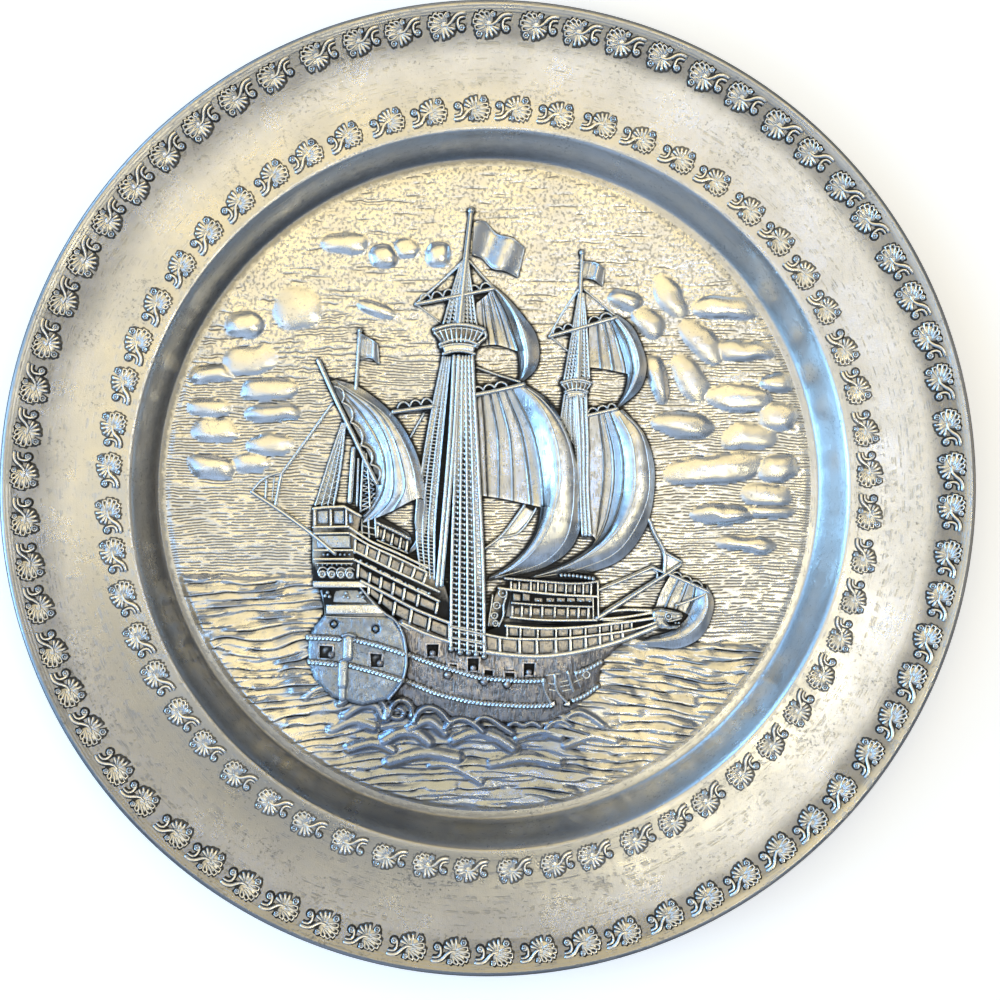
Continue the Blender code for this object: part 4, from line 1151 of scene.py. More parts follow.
def add_bulwark(material, dark, panels):
    """The open-work side between the main shrouds and the beak."""
    Shape("bulwark_side", dark).panel(BULWARK, 2.8)
    rails = Shape("bulwark_rails", material)
    rails.bars(BULWARK_RAILS, square=0.8)

    def up_at(line, u):
        return float(np.interp(u, *np.array(line).T))

    wide = (-2.0, 2.4, 8.2, 13.3, 18.9, 23.2, 27.7, 31.9, 35.4, 38.6)
    posts = [((u, up_at(MIDDLE_RAIL, u) - 0.3), (u + 0.1, up_at(LOWER_RAIL, u) + 0.5)) for u in wide]
    posts_and_panels(rails, panels, posts, RAIL_TOP - 0.1, width=0.9)
    small = (4.6, 8.5, 13.6, 19.0, 23.2, 27.7, 31.9, 35.3, 38.4, 41.3)
    upper = ((4, -39.6), (25, -40.2), (45, -37.9))
    posts = [((u, up_at(upper, u) - 0.2), (u, up_at(MIDDLE_RAIL, u) + 0.3)) for u in small]
    posts_and_panels(rails, panels, posts, RAIL_TOP - 0.3, width=0.6)


FORECASTLE = (
    (5.2, -25.9), (29.5, -26.6), (31.6, -26.6), (31.6, -37.6), (25, -38.2), (12, -38.0), (4.2, -37.0),
    (5.6, -31),
)

# Rails of the forecastle: line, width, and the strands of those that are roped
FINE_STRAND = (1.0, 0.12)
FORECASTLE_RAILS = (
    (((4.0, -25.6), (12, -26.3), (29.5, -26.9), (31.4, -26.6)), 0.65, FINE_STRAND),
    (((2.2, -28.5), (12.0, -29.7), (19.0, -30.4), (31.4, -31.1)), 0.8, None),
    (((6.1, -32.8), (12, -33.3), (29.9, -34.1)), 0.65, FINE_STRAND),
    (((31.3, -26.8), (31.5, -37.6)), 0.6, None), (((29.9, -31.4), (30.0, -37.6)), 0.4, None),
)


def add_forecastle(material, dark, panels):
    """The raised deck at the bow, with the scroll that carries its after end."""
    castle = Shape("forecastle", material)
    Shape("forecastle_side", dark).panel(FORECASTLE, 2.6)
    for line, width, rope in FORECASTLE_RAILS:
        castle.bar(line, width, 4.6, rope=rope, square=0.8)
    upper = [
        (u, -26.7 - 0.02 * (u - 12)) for u in (5.8, 8.2, 11.6, 13.7, 16.1, 18.9, 22.0, 24.6, 27.1, 29.4)
    ]
    posts = [((u, v - 0.1), (u - 0.1, v - 2.6 - 0.035 * (u - 5))) for u, v in upper]
    posts_and_panels(castle, panels, posts, 4.4, width=0.6)
    lower = [(u, -33.9 - 0.03 * (u - 12)) for u in (6.2, 9.0, 11.6, 15.0, 18.7, 22.5, 25.7, 28.6)]
    posts_and_panels(
        castle, panels, [((u, v - 0.2), (u - 0.1, v - 2.9)) for u, v in lower], 4.4, width=0.75,
    )
    for u in (13.9, 17.4, 20.5, 23.5, 26.4, 28.9):
        castle.bead((u, -32.0 - 0.015 * u), 0.42, 4.3)
        panels.panel(
            [(u - 1.2, -32.6), (u + 1.2, -32.7), (u + 1.2, -31.5), (u - 1.2, -31.4)], 3.7, edge=0.3,
        )
    for u in (6.4, 9.2):
        panels.panel([(u, -32.2), (u + 2.2, -32.4), (u + 2.2, -30.4), (u, -30.0)], 4.0, edge=0.4)
    bracket = Shape("scroll_bracket", material)
    scroll = (
        (2.4, -28.4), (6.2, -29.2), (5.6, -33), (3.6, -37.6), (1.6, -40.2), (-0.8, -39.8), (0.2, -34),
        (1.0, -31),
    )
    panels.panel(scroll, 2.4)
    for u, v, radius in ((3.4, -30.0, 1.2), (1.6, -33.6, 1.0), (0.9, -36.6, 0.9), (1.2, -38.9, 0.8)):
        bracket.ring((u, v), radius, 0.6, 3.6)
        bracket.bead((u, v), 0.4, 3.4)
    bracket.bar([(4.6, -30.6), (3.6, -33.6), (3.6, -36.4), (2.2, -39.8)], 0.7, 3.4)
    bracket.bar([(0.4, -30.6), (0.0, -33.8), (-0.6, -37.6), (-0.8, -39.6)], 0.6, 3.3)
    for u, v in np.linspace((20.6, -25.0), (30.0, -25.6), 9):
        bracket.bead((u, v + 0.3 * sin(5 * u)), 0.55, 4.6)


BEAST = (
    (47.2, -35.6), (48.6, -34.9), (50.6, -34.8), (52.4, -35.2), (54.4, -35.6), (56.4, -36.2), (56.6, -37.2),
    (55.6, -37.9), (53.4, -38.3), (52.0, -38.8), (53.0, -39.6), (54.6, -39.5), (55.8, -39.9), (55.0, -40.8),
    (52.6, -41.0), (50.0, -40.8), (48.2, -40.0), (47.4, -38.0),
)
SPRIT_BLOCK = ((51.4, -18.8), (52.2, -18.2), (56.5, -20.8), (55.6, -22.4), (51.6, -24.8), (50.6, -23.4))


def add_beak_head(material):
    """The beast at the bow, with the bowsprit over it."""
    head = Shape("beast_head", material)

    def height(across, up):
        return 4.1 + 0.22 * noise(across, up, 0.9, 0.8, 71) - rounding(across, up, BEAST, 1.3)

    relief(head, BEAST, height, cell=0.3)
    head.ring((52.3, -37.0), 0.95, 0.5, 4.5)
    head.bead((52.3, -37.0), 0.55, 4.6)
    head.bar([(52.2, -38.5), (54.2, -38.2), (56.0, -37.6)], 0.45, 4.4)
    head.bar([(50.0, -35.2), (51.8, -35.6), (53.6, -36.0), (55.4, -36.2)], 0.6, 4.5)
    head.beads([(54.4, -39.0), (55.4, -39.0)], 0.35, 4.1)
    sprit = Shape("bowsprit", material)
    sprit.bar(
        [(31.0, -37.7), (41, -31.4), (50.1, -25.6), (56.0, -21.8)], [1.5, 1.3, 1.1, 1.0],
        [4.4, 4.2, 4.2, 4.0],
    )
    sprit.bar([(31.3, -29.4), (40.5, -25.7), (47.6, -22.6), (51.2, -24.2)], 0.9, 3.4, straight=True)
    sprit.bar([(33.0, -38.2), (41.0, -38.3), (47.0, -38.0)], 0.6, 3.2)
    sprit.panel(SPRIT_BLOCK, 2.0, edge=0.6)
    sprit.bar([(51.6, -18.4), (56.3, -21.0)], 0.75, 3.4)
    sprit.bar([(46.6, -8.5), (48.4, -12.9), (50.6, -16.8), (51.4, -19.0), (51.2, -24.0)], 1.2, 3.4)
    sprit.bar([(47.6, -22.8), (49.2, -24.6), (49.0, -26.2)], 0.5, 2.6)


# ---------------------------------------------------------------- masts, shrouds and yards

MAST_TOP = 5.7


def ladder(shape, left, right, ropes, pitch, top, rope_width, rung_width, nubs=True, back=1.4):
    """A band of shrouds: ropes from the first edge to the second, crossed by rungs, over a sunk back."""
    left, right = np.array(left, float), np.array(right, float)
    long = max(path_length(left), path_length(right))
    a, b = through(left, 60), through(right, 60)
    shape.panel(np.vstack([left, right[::-1]]), top - back, edge=0.3)
    for k in range(ropes):
        share = k / (ropes - 1)
        edge = k in (0, ropes - 1)
        shape.bar(a * (1 - share) + b * share, rope_width * (1.15 if edge else 0.9), top, step=1.4)
    for along in np.arange(pitch * 0.6, long, pitch) / long:
        start, end = (at(along, np.linspace(0, 1, 60), line) for line in (a, b))
        shape.bar([start, end], rung_width, top - 0.2, step=3)
        for k in range(ropes - 1 if nubs else 0):
            place = start + (end - start) * (k + 0.55) / (ropes - 1)
            shape.bar([place + (0.12, 0.1), place + (0.12, -0.5)], 0.42, top - 0.1, step=2)


def zigzag(shape, left, right, pitch, top):
    """A line that crosses from one edge of a band to the other and back."""
    edges = through(left, 60), through(right, 60)
    count = int(path_length(left) / pitch)
    places = [at(k / count, np.linspace(0, 1, 60), edges[1 - k % 2]) for k in range(count + 1)]
    shape.bar(places, 0.45, top, straight=True, step=3)


def add_masts(material):
    masts = Shape("masts", material)
    for shift in (-0.62, 0.62):
        line = [(u + shift, v) for u, v in ((-10.3, 39.4), (-11.3, 19.9), (-13.2, -4.0), (-15.3, -27.6))]
        masts.bar(line, 1.15, [MAST_TOP - 0.3, MAST_TOP, MAST_TOP, MAST_TOP - 0.6])
    masts.bar([(-9.4, 48.4), (-7.7, 65.0), (-5.95, 81.0)], [2.1, 1.7, 1.3], [5.0, 4.4, 3.6], step=1.5)
    masts.bead((-5.85, 81.9), 0.95, 3.8)
    masts.bar([(26.7, 69.2), (26.0, 52.0), (25.4, 33.5)], [0.9, 1.2, 1.5], [3.0, 3.6, 4.2], step=1.5)
    masts.bead((26.7, 69.8), 0.8, 3.2)
    masts.bar([(-38.4, 46.4), (-39.5, 29.8)], 1.1, 3.2, step=2)
    masts.bead((-38.3, 46.9), 0.7, 3.3)
    masts.bar([(-40.3, 12.4), (-41.4, -3.0)], 1.5, 3.8, step=2)
    masts.bar([(-38.9, 9.5), (-39.4, -4.2)], 0.7, 3.0, step=2)


# Bands of shrouds: left edge, right edge, ropes, pitch of the rungs, top, widths of rope and rung
MAIN_SHROUDS = (
    ((-9.4, 39.4), (-10.6, 8.1), (-11.6, -21.4), (-11.9, -46.2)),
    ((-5.6, 39.4), (-3.9, 8.1), (-2.5, -21.4), (-2.1, -47.8)),
    5, 1.62, MAST_TOP - 0.2, 0.85, 0.5,
)
LEFT_SHROUDS = (
    ((-14.1, 39.2), (-18.0, 20.0), (-20.0, 8.1), (-21.8, -14), (-20.6, -25)),
    ((-12.1, 39.2), (-14.0, 20.0), (-15.5, 4.0), (-16.6, -10), (-16.8, -26)), 4, 1.05, 3.7, 0.6, 0.4,
)
UPPER_SHROUDS = (
    (((-8.9, 66.5), (-12.0, 56), (-13.9, 49.0)), ((-8.3, 66.5), (-9.9, 56), (-10.6, 49.0)),
     3, 1.2, 3.6, 0.6, 0.4),
    (((-7.4, 67.0), (-7.9, 56), (-8.1, 49.0)), ((-6.8, 67.0), (-5.3, 56), (-4.3, 48.6)),
     4, 1.2, 3.8, 0.55, 0.4),
    (((25.7, 57.8), (23.6, 45), (21.5, 32.8)), ((26.2, 57.8), (25.6, 45), (24.6, 33.2)),
     4, 1.1, 3.4, 0.5, 0.35),
    (((26.8, 57.8), (26.4, 45), (26.0, 33.2)), ((27.1, 57.8), (28.2, 45), (28.8, 33.0)),
     3, 1.1, 3.6, 0.5, 0.35),
)
FORE_SHROUDS = (
    (((25.2, 28.0), (26.0, 14), (26.2, 0), (26.8, -13)), ((27.8, 28.0), (28.3, 14), (28.4, 0), (29.2, -13)),
     3, 0.82, 4.6, 0.6, 0.4),
    (((21.6, 28.2), (20.9, 24), (20.2, 19.4)), ((24.4, 28.2), (24.6, 20), (25.2, 12.5)),
     4, 1.0, 3.6, 0.5, 0.4),
)
DEADEYES = ((-11.9, -46.2), (-9.2, -47.2), (-6.8, -47.4), (-4.5, -47.8), (-2.2, -48.4))

# Stays: line, width, top
STAYS = (
    (((-8.1, 67.3), (-14.5, 61.2), (-21.5, 55.1)), 0.75, 3.2),
    (((-6.4, 67.3), (-3.0, 63.4), (0.8, 59.4)), 0.75, 3.2),
    (((25.6, 59.0), (21.0, 52.2), (17.5, 46.0)), 0.7, 2.8),
    (((27.4, 59.0), (31.6, 55.4), (36.3, 51.6)), 0.7, 2.8),
    (((17.5, 45.2), (20.0, 43.2), (22.4, 41.2)), 0.6, 2.4),
    (((-21.5, 54.3), (-18.0, 51.8), (-15.0, 49.4)), 0.6, 2.4),
    (((-4.2, 36.2), (2.0, 34.0), (8.4, 32.0)), 0.7, 3.4),
    (((9.8, -4.3), (7.0, -8.2), (2.8, -13.4), (-1.8, -16.8)), 0.8, 3.2),
    (((-19.8, 22.7), (-23.6, 15.9)), 0.6, 3.0),
    (((13.2, -5.2), (11.2, -8.6), (8.0, -12.4), (2.8, -13.6)), 0.6, 2.8),
)
LOOSE_CLOTH = ((9.8, -4.6), (12.8, -6.0), (10.8, -9.2), (7.8, -12.4), (3.2, -13.4), (6.6, -9.0))


def add_shrouds(material):
    main = Shape("main_shrouds", material)
    ladder(main, *MAIN_SHROUDS)
    main.beads(DEADEYES, 0.85, MAST_TOP)
    for line in (((-12.3, -39.6), (-1.9, -42.0)), ((-11.8, -42.8), (-2.2, -44.8))):
        main.bar(line, 0.7, MAST_TOP + 0.2, step=2)
    ladder(Shape("main_shrouds_left", material), *LEFT_SHROUDS, nubs=False, back=1.3)
    upper = Shape("upper_shrouds", material)
    for band in UPPER_SHROUDS:
        ladder(upper, *band)
    fore = Shape("fore_shrouds", material)
    for band in FORE_SHROUDS:
        ladder(fore, *band)
    fore.beads([(24.8, v) for v in np.arange(14.5, 8.5, -0.9)], 0.45, 3.8)
    fore.bar([(24.9, 28), (25.4, 12), (25.6, -3)], 0.8, 4.2, step=2)


def add_mizzen_rigging(material):
    """The laced shrouds of the mizzen, and the outrigger with its brace over the stern."""
    mizzen = Shape("mizzen_shrouds", material)
    a, b = np.array([[(-43.6, 19.8), (-47.6, 8), (-51.4, -4)], [(-42.6, 19.8), (-44.0, 8), (-46.1, -4)]])
    mizzen.panel(np.vstack([a, b[::-1]]), 1.7, edge=0.3)
    shares = (0.0, 0.35, 0.68, 1.0)
    ropes = [a * (1 - share) + b * share for share in shares]
    for rope, share in zip(ropes, shares):
        mizzen.bar(rope, 0.7 if share in (0, 1) else 0.5, 2.9, step=2)
    for rope, other in zip(ropes, ropes[1:]):
        zigzag(mizzen, rope, other, 0.9, 2.6)
    c, d = np.array(
        [[(-37.3, 11.5), (-37.8, 4), (-38.3, -5.8)], [(-36.6, 11.0), (-35.9, 4), (-35.5, -5.2)]]
    )
    mizzen.bar(c, 0.7, 3.4, step=2)
    mizzen.bar(d, 0.6, 3.2, step=2)
    zigzag(mizzen, c, d, 0.75, 3.1)
    zigzag(mizzen, d, d + ((0.4, -2.5), (1.0, 0), (2.0, 1.8)), 0.75, 2.7)
    Shape("mizzen_brace", material).bar(((-46.4, 25.6), (-54, 15.0), (-61.2, 5.2)), 0.85, 2.7, depth=3.0)
    spar = ((-69.9, -0.1), (-60, -6.8), (-53, -12.0), (-45.8, -18.0))
    Shape("outrigger", material).bar(spar, 1.25, [2.8, 3.0, 4.0, 5.6], depth=3.0)
    bow = Shape("outrigger_bow", material)
    bow.bar([(-61.3, 5.6), (-64.5, 4.7), (-67.2, 3.0), (-69.9, 0.0)], 0.85, 2.7)
    bow.bar([(-65.6, 3.4), (-66.0, -2.2)], 0.8, 2.4)
    bow.bar([(-61.3, 5.2), (-63.2, -4.2)], 1.0, 2.7)
    bow.bar([(-63.4, 4.4), (-64.2, -3.0)], 0.4, 1.4)


def add_stays(material):
    stays = Shape("stays", material)
    stays.bars(STAYS, step=1.5)
    stays.panel(LOOSE_CLOTH, 2.0, edge=0.5)


# Fighting tops: name, centre, width, share of full height, slats, height above the floor
TOPS = (("main_top", (-9.5, 44.6), 14.6, 1.0, 9, 6.6), ("fore_top", (24.9, 30.2), 8.6, 0.62, 6, 5.2))


def add_tops(material, dark):
    """The fighting tops: a slatted basket on a collar."""
    for name, (x, y), wide, high, slats, top in TOPS:
        basket = Shape(name, material)
        half, low = wide / 2, wide / 2 * 0.76

        def spot(t, reach, rise, bend):
            return x + reach * t, y + (rise + bend * t * t) * high

        def arch(reach, rise, bend, start, end, count):
            return [spot(t, reach, rise, bend) for t in np.linspace(start, end, count)]

        ends = [(x - half, y + 2.4 * high), (x + half, y + 2.2 * high)]
        brim = ends[:1] + arch(half, 3.9, -1.5, -0.8, 0.8, 7) + ends[1:]
        Shape(name + "_bowl", dark).panel(brim + arch(low, -1.8, 0.9, 1, -1, 7), top - 1.6, edge=0.6)
        for rise, reach, width, lift in (
            (3.2, half, 1.1, 0.0), (2.1, half * 0.97, 0.6, -0.3), (-1.1, low, 0.9, -0.1),
        ):
            basket.bar(arch(reach, rise + 0.8, -1.5, -1, 1, 9), width * high**0.5, top + lift, step=0.7)
        for t in 2 * np.arange(slats + 1) / slats - 1:
            slat = [spot(t, half * 0.96, 3.0, -1.3), spot(t, low * 0.97, -1.0, 0.6)]
            basket.bar(slat, 0.62 * high**0.6, top - 0.1, step=3)
        for drop, reach, width in ((-2.5, 0.72, 0.8), (-4.5, 0.62, 0.9)):
            band = [
                (x + half * reach * t, y + (drop + 0.9 * (1 - t * t)) * high) for t in np.linspace(-1, 1, 7)
            ]
            basket.bar(band, width * high**0.5, top - 0.9)
        collar = ((-0.66, 2.2), (0, 1.4), (0.66, 2.2), (0.56, 4.5), (0, 3.7), (-0.56, 4.5))
        basket.panel([(x + half * u, y - v * high) for u, v in collar], top - 1.3, edge=0.5)
        if high == 1:
            right = x + half
            hook = [
                (right, y + 2.4), (right + 0.6, y + 0.6), (right - 1.0, y - 0.8), (right - 2.4, y - 2.2),
            ]
            basket.bar(hook, 0.9, top - 0.5)


def scallops(shape, places, swing, width, top):
    """Loops of rolled sail standing along a yard."""
    places = np.array(places, float)
    for start, end in zip(places[:-1], places[1:]):
        step = end - start
        over = np.array([-step[1], step[0]]) / hypot(*step) * swing
        loop = [start + step * t + over * sin(pi * t) ** 0.7 for t in np.linspace(0.02, 0.98, 7)]
        shape.bar(loop, width, top)


# Yards: line, width, top
YARDS = (
    (((-21.9, 54.6), (-10.6, 56.8), (0.6, 59.1)), 1.2, 4.6), (((-28.6, 23.2), (-17.2, 24.8)), 1.25, 4.4),
    (((-5.6, 28.0), (1.5, 29.4), (9.4, 31.2)), 1.3, 5.2),
    (((17.2, 45.3), (26.8, 48.0), (36.6, 50.8)), 1.1, 4.4), (((27.8, 22.0), (36.8, 24.1)), 1.1, 4.6),
    (((-50.4, 38.2), (-46.4, 29.2), (-33.6, 2.3)), 1.25, 4.4),
    (((52.6, -24.6), (58.0, -27.0), (64.2, -29.9)), 1.1, 4.0),
    (((63.8, -30.2), (59.5, -32.2), (54.8, -33.8)), 0.8, 3.6),
)

# Rolled sail on the yards: where its loops meet, how far they swing, width, top
ROLLED = (
    (((-20.8, 55.4), (-17.4, 56.0), (-14.0, 56.7), (-10.6, 57.3)), 2.0, 0.6, 3.4),
    (((-6.4, 58.1), (-3.2, 58.7), (0.2, 59.5)), 1.8, 0.6, 3.4),
    (((-27.4, 24.2), (-23.8, 24.7), (-20.4, 25.2), (-17.2, 25.7)), 1.7, 0.6, 3.4),
    (((-5.4, 28.9), (-2.3, 29.5), (1.0, 30.2), (4.6, 30.9)), 1.4, 0.65, 4.4),
    (((18.2, 46.2), (21.2, 47.1), (24.2, 47.9)), 1.5, 0.55, 3.2),
    (((28.6, 49.2), (32.0, 50.2), (35.6, 51.2)), 1.5, 0.55, 3.2),
    (((28.4, 22.9), (31.2, 23.5), (34.2, 24.2), (36.6, 24.7)), 1.2, 0.55, 4.0),
    (((-45.9, 30.6), (-43.7, 25.9), (-41.2, 20.1), (-38.2, 13.4), (-35.4, 7.8), (-33.3, 3.0)),
     1.9, 0.7, 3.9),
    (((53.4, -24.6), (56.3, -25.6), (59.2, -26.9), (62.4, -28.5)), 1.0, 0.5, 3.4),
)


def add_yards(material):
    yards = Shape("yards", material)
    yards.bars(YARDS, step=1.5)
    for row in ROLLED:
        scallops(yards, *row)


# ---------------------------------------------------------------- sails and flags


SAIL_ROW = 0.8
SAIL_COLUMN = 0.3
SEAM_WIDTH = 0.24
SEAM_RISE = 0.3
CREST = 3


def sail(name, material, rails, open_rails, foot_share, seams):
    """A full sail. Rails run from head to foot, each a list of (across, up, height).

    The first open_rails of them stop at the foot's arch, and the others go on to the tip.
    """
    shape = Shape(name, material)
    rows = int(path_length(rails[-1]) / SAIL_ROW) + 1
    split = int(rows * foot_share)
    missing = np.zeros((rows - split - 1, 3))
    lines = [np.vstack([through(rail, split + 1), missing]) for rail in rails[:open_rails]]
    lines += [through(rail, rows) for rail in rails[open_rails:]]
    grid = np.array(lines).transpose(1, 0, 2)
    knots = lengths(grid[split // 2])
    wanted = np.linspace(0, knots[-1], int(knots[-1] / SAIL_COLUMN) + 1)

    def seamed(rows_of, first):
        """Rows filled in from rail to rail, with the seams raised between their grooves."""
        known = knots[first:]
        inner = wanted[wanted >= known[0] - 1e-9]
        span = np.clip(np.searchsorted(known, inner, side="right") - 1, 0, len(known) - 2)
        width = (known[span + 1] - known[span])[:, None]
        t = (inner - known[span])[:, None] / width
        part = []
        for row in rows_of:
            slopes = np.gradient(row, known, axis=0)
            part.append(eased(t, width, row[span], row[span + 1], slopes[span], slopes[span + 1]))
        part = np.array(part)
        for seam in seams:
            off = (inner - seam * knots[CREST]) / SEAM_WIDTH
            grooves = 0.6 * np.exp(-((off - 1.8) ** 2)), 0.3 * np.exp(-((off + 1.8) ** 2))
            part[..., 2] += SEAM_RISE * (np.exp(-(off**2)) - grooves[0] - grooves[1])
        return part

    whole, below = seamed(grid[: split + 1], 0), seamed(grid[split:, open_rails:], open_rails)
    shape.sheet(whole[:, ::-1])
    shape.sheet(below[:, ::-1])
    foot = whole[-1, : whole.shape[1] - below.shape[1] + 1]
    outer = (below[1:, 0], below[-1, 1:], below[-2::-1, -1], whole[-2:0:-1, -1])
    loop = np.vstack([whole[0, ::-1], whole[1:, 0], foot[1:], *outer])
    under = loop.copy()
    under[:, 2] = -ROOT
    shape.sheet(np.array([under, loop]), around=True)
    for rail, width, lift in ((rails[CREST], 0.5, 0.22), (rails[-2], 0.45, 0.2)):
        line = through(rail, 40)
        shape.bar(line[1:-1, :2], width, line[1:-1, 2] + lift, depth=0.4, step=1.2)


# Sails: name, rails from the left edge to the outer edge, rails that stop at the arch of the foot, how far
# down that arch is, and where seams run between the left edge and the crest
SAILS = (
    ("main_course", (
        ((-4.2, 28.2, 2.2), (-4.0, 16, 2.0), (-3.6, 6, 1.9), (-3.0, -1.3, 2.0)),
        ((0.6, 29.4, 2.4), (3.6, 16, 1.9), (4.0, 8, 1.8), (4.0, -2.4, 2.0)),
        ((5.2, 30.3, 2.8), (11.2, 17, 2.2), (13.2, 8, 2.0), (14.2, 0, 2.0), (14.5, -6.3, 2.1),
         (13.2, -12, 2.2), (9.5, -18, 2.3), (4, -22.8, 1.9), (-0.6, -25.3, 1.0)),
        ((8.3, 30.9, 3.6), (12, 27.7, 4.6), (16, 22.3, 5.4), (18.5, 16, 5.8), (20.0, 8, 5.9),
         (20.0, 2, 5.9), (18.8, -4, 5.8), (16, -12, 5.3), (11.5, -18.6, 4.4), (6, -22.9, 3.2),
         (-0.6, -25.8, 1.4)),
        ((9.0, 31.1, 3.4), (14.2, 27.4, 4.2), (19.4, 21, 4.8), (22.3, 15, 5.1), (24.1, 7, 5.1),
         (24.2, 0, 5.1), (23.7, -7, 5.0), (21.6, -14.6, 4.6), (16.6, -20.2, 3.6), (8, -23.8, 2.4),
         (-0.7, -26.0, 1.2)),
        ((9.8, 31.3, 2.6), (16.5, 26.7, 2.8), (20.9, 20.3, 3.2), (23.9, 13.0, 3.4), (25.9, 5, 3.4),
         (26.4, -3, 3.4), (26.1, -11, 3.4), (23.5, -16.8, 3.1), (17.4, -21.6, 2.6), (8, -24.7, 1.9),
         (-0.8, -26.3, 0.9)),
    ), 2, 0.57, (0.1, 0.25, 0.4, 0.56, 0.72)),
    ("main_topsail", (
        ((-4.2, 55.0, 1.8), (-4.4, 50, 1.5), (-4.0, 42.4, 1.8)),
        ((-1.0, 57.6, 2.0), (0.6, 50, 1.6), (2.0, 42.8, 1.8)),
        ((0.4, 59.2, 2.4), (4.4, 51, 2.0), (6.6, 44.5, 1.9), (8.1, 39.2, 2.0), (8.4, 35.6, 1.8),
         (8.2, 32.8, 1.2)),
        ((0.8, 59.6, 3.2), (4.7, 55.3, 4.2), (7.9, 50, 4.6), (9.9, 44.5, 4.7), (10.7, 40, 4.6),
         (10.4, 36, 4.0), (8.8, 32.5, 1.8)),
        ((0.9, 59.9, 2.6), (5.2, 56.1, 2.7), (9.3, 51.3, 3.0), (13.0, 46.0, 3.1), (14.1, 41.0, 3.1),
         (13.2, 36.0, 2.6), (9.2, 31.9, 1.4)),
    ), 2, 0.7, (0.2, 0.38, 0.55, 0.72)),
    ("fore_course", (
        ((28.9, 21.6, 2.0), (28.9, 10, 1.8), (29.4, -12.6, 1.9)),
        ((31.2, 22.4, 2.2), (32.6, 10, 1.8), (30.8, -14.2, 1.9)),
        ((33.4, 23.2, 2.6), (36.6, 10, 2.2), (36.2, -2, 2.1), (31.6, -14.4, 2.1), (24, -20.4, 2.0),
         (11.4, -25.4, 1.0)),
        ((36.8, 23.4, 3.4), (41.0, 15.2, 4.8), (42.2, 7, 5.0), (42.0, 0, 5.0), (38.3, -10, 4.8),
         (32.6, -16.2, 4.2), (22, -22.4, 3.0), (11.2, -25.8, 1.3)),
        ((38.0, 23.7, 3.2), (43.6, 17.6, 4.3), (46.2, 8, 4.5), (46.4, 0, 4.5), (43.2, -9.4, 4.3),
         (37.4, -17.6, 3.8), (26, -23.0, 2.6), (11.0, -26.0, 1.2)),
        ((38.8, 23.9, 2.4), (44.9, 16.9, 2.9), (47.9, 8, 3.1), (48.0, 0, 3.1), (45.4, -11.2, 3.0),
         (38.7, -20.0, 2.6), (28, -24.4, 1.8), (10.8, -26.2, 0.9)),
    ), 2, 0.66, (0.3, 0.5, 0.72)),
    ("fore_topsail", (
        ((28.9, 48.6, 1.7), (28.8, 42, 1.4), (28.6, 36.4, 1.7)),
        ((31.8, 50.2, 1.9), (32.8, 43, 1.5), (33.6, 35.8, 1.7)),
        ((34.8, 51.0, 2.2), (38.0, 44, 1.8), (40.2, 32.4, 1.8), (39.2, 28.4, 1.5), (37.2, 25.0, 0.9)),
        ((36.4, 51.3, 3.0), (40.4, 46.1, 4.0), (42.8, 40.5, 4.2), (43.4, 36.6, 4.1), (41.4, 30.2, 3.4),
         (37.4, 24.7, 1.4)),
        ((37.0, 51.8, 2.4), (40.9, 48.8, 2.6), (44.2, 42.8, 2.9), (45.7, 37.0, 2.9), (44.3, 30.7, 2.4),
         (37.7, 24.3, 1.0)),
    ), 2, 0.62, (0.22, 0.42, 0.62, 0.8)),
    ("mizzen_sail", (
        ((-47.0, 32.0, 2.0), (-40.4, 19.5, 2.1), (-34.6, 7.0, 2.1), (-34.0, -1.4, 2.2),
         (-40.2, -10.0, 1.3)),
        ((-46.6, 32.2, 2.6), (-37.4, 21.0, 3.5), (-31.6, 8.0, 3.8), (-31.9, 0.8, 3.7),
         (-36.6, -7.0, 2.4), (-40.0, -10.0, 1.5)),
        ((-46.2, 32.3, 2.8), (-32.4, 22.0, 4.8), (-27.0, 9.0, 5.1), (-26.0, 0, 4.9), (-29.6, -6.0, 3.6)),
        ((-45.8, 32.4, 2.8), (-29.8, 21.0, 4.6), (-23.2, 8.0, 4.8), (-21.8, -2, 4.6), (-22.2, -9.6, 3.9),
         (-21.8, -14.0, 2.9), (-24.4, -18.3, 1.5)),
        ((-45.4, 32.6, 2.2), (-39.8, 30.9, 2.6), (-33.4, 26.8, 3.0), (-27.7, 21.2, 3.2),
         (-23.6, 14.8, 3.3), (-20.9, 8.0, 3.3), (-19.3, 0, 3.3), (-18.9, -9.0, 3.1), (-20.9, -15.8, 2.4),
         (-24.6, -18.9, 1.0)),
    ), 3, 0.72, (0.35, 0.58, 0.8)),
    ("spritsail", (
        ((53.4, -24.8, 1.6), (50.2, -30.6, 1.3), (48.8, -34.6, 1.4)),
        ((57.0, -26.4, 1.9), (55.0, -31.0, 1.5), (53.2, -34.8, 1.4)),
        ((61.0, -28.2, 2.4), (60.4, -33.0, 2.0), (58.2, -37.4, 1.8), (54.4, -41.0, 1.6),
         (46.5, -43.8, 1.0)),
        ((63.6, -29.6, 3.2), (64.0, -33.6, 3.6), (62.2, -38.4, 3.7), (57.6, -42.8, 3.2),
         (50.0, -44.6, 2.2), (44.5, -44.8, 1.1)),
        ((63.8, -28.2, 2.6), (65.9, -32.4, 2.6), (65.3, -37.2, 2.7), (61.6, -43.8, 2.6),
         (55.6, -46.7, 2.0), (48.6, -46.3, 1.5), (42.5, -45.3, 0.8)),
    ), 2, 0.4, (0.2, 0.42, 0.64)),
)


def add_sails(material):
    for name, *form in SAILS:
        sail(name, material, *form)


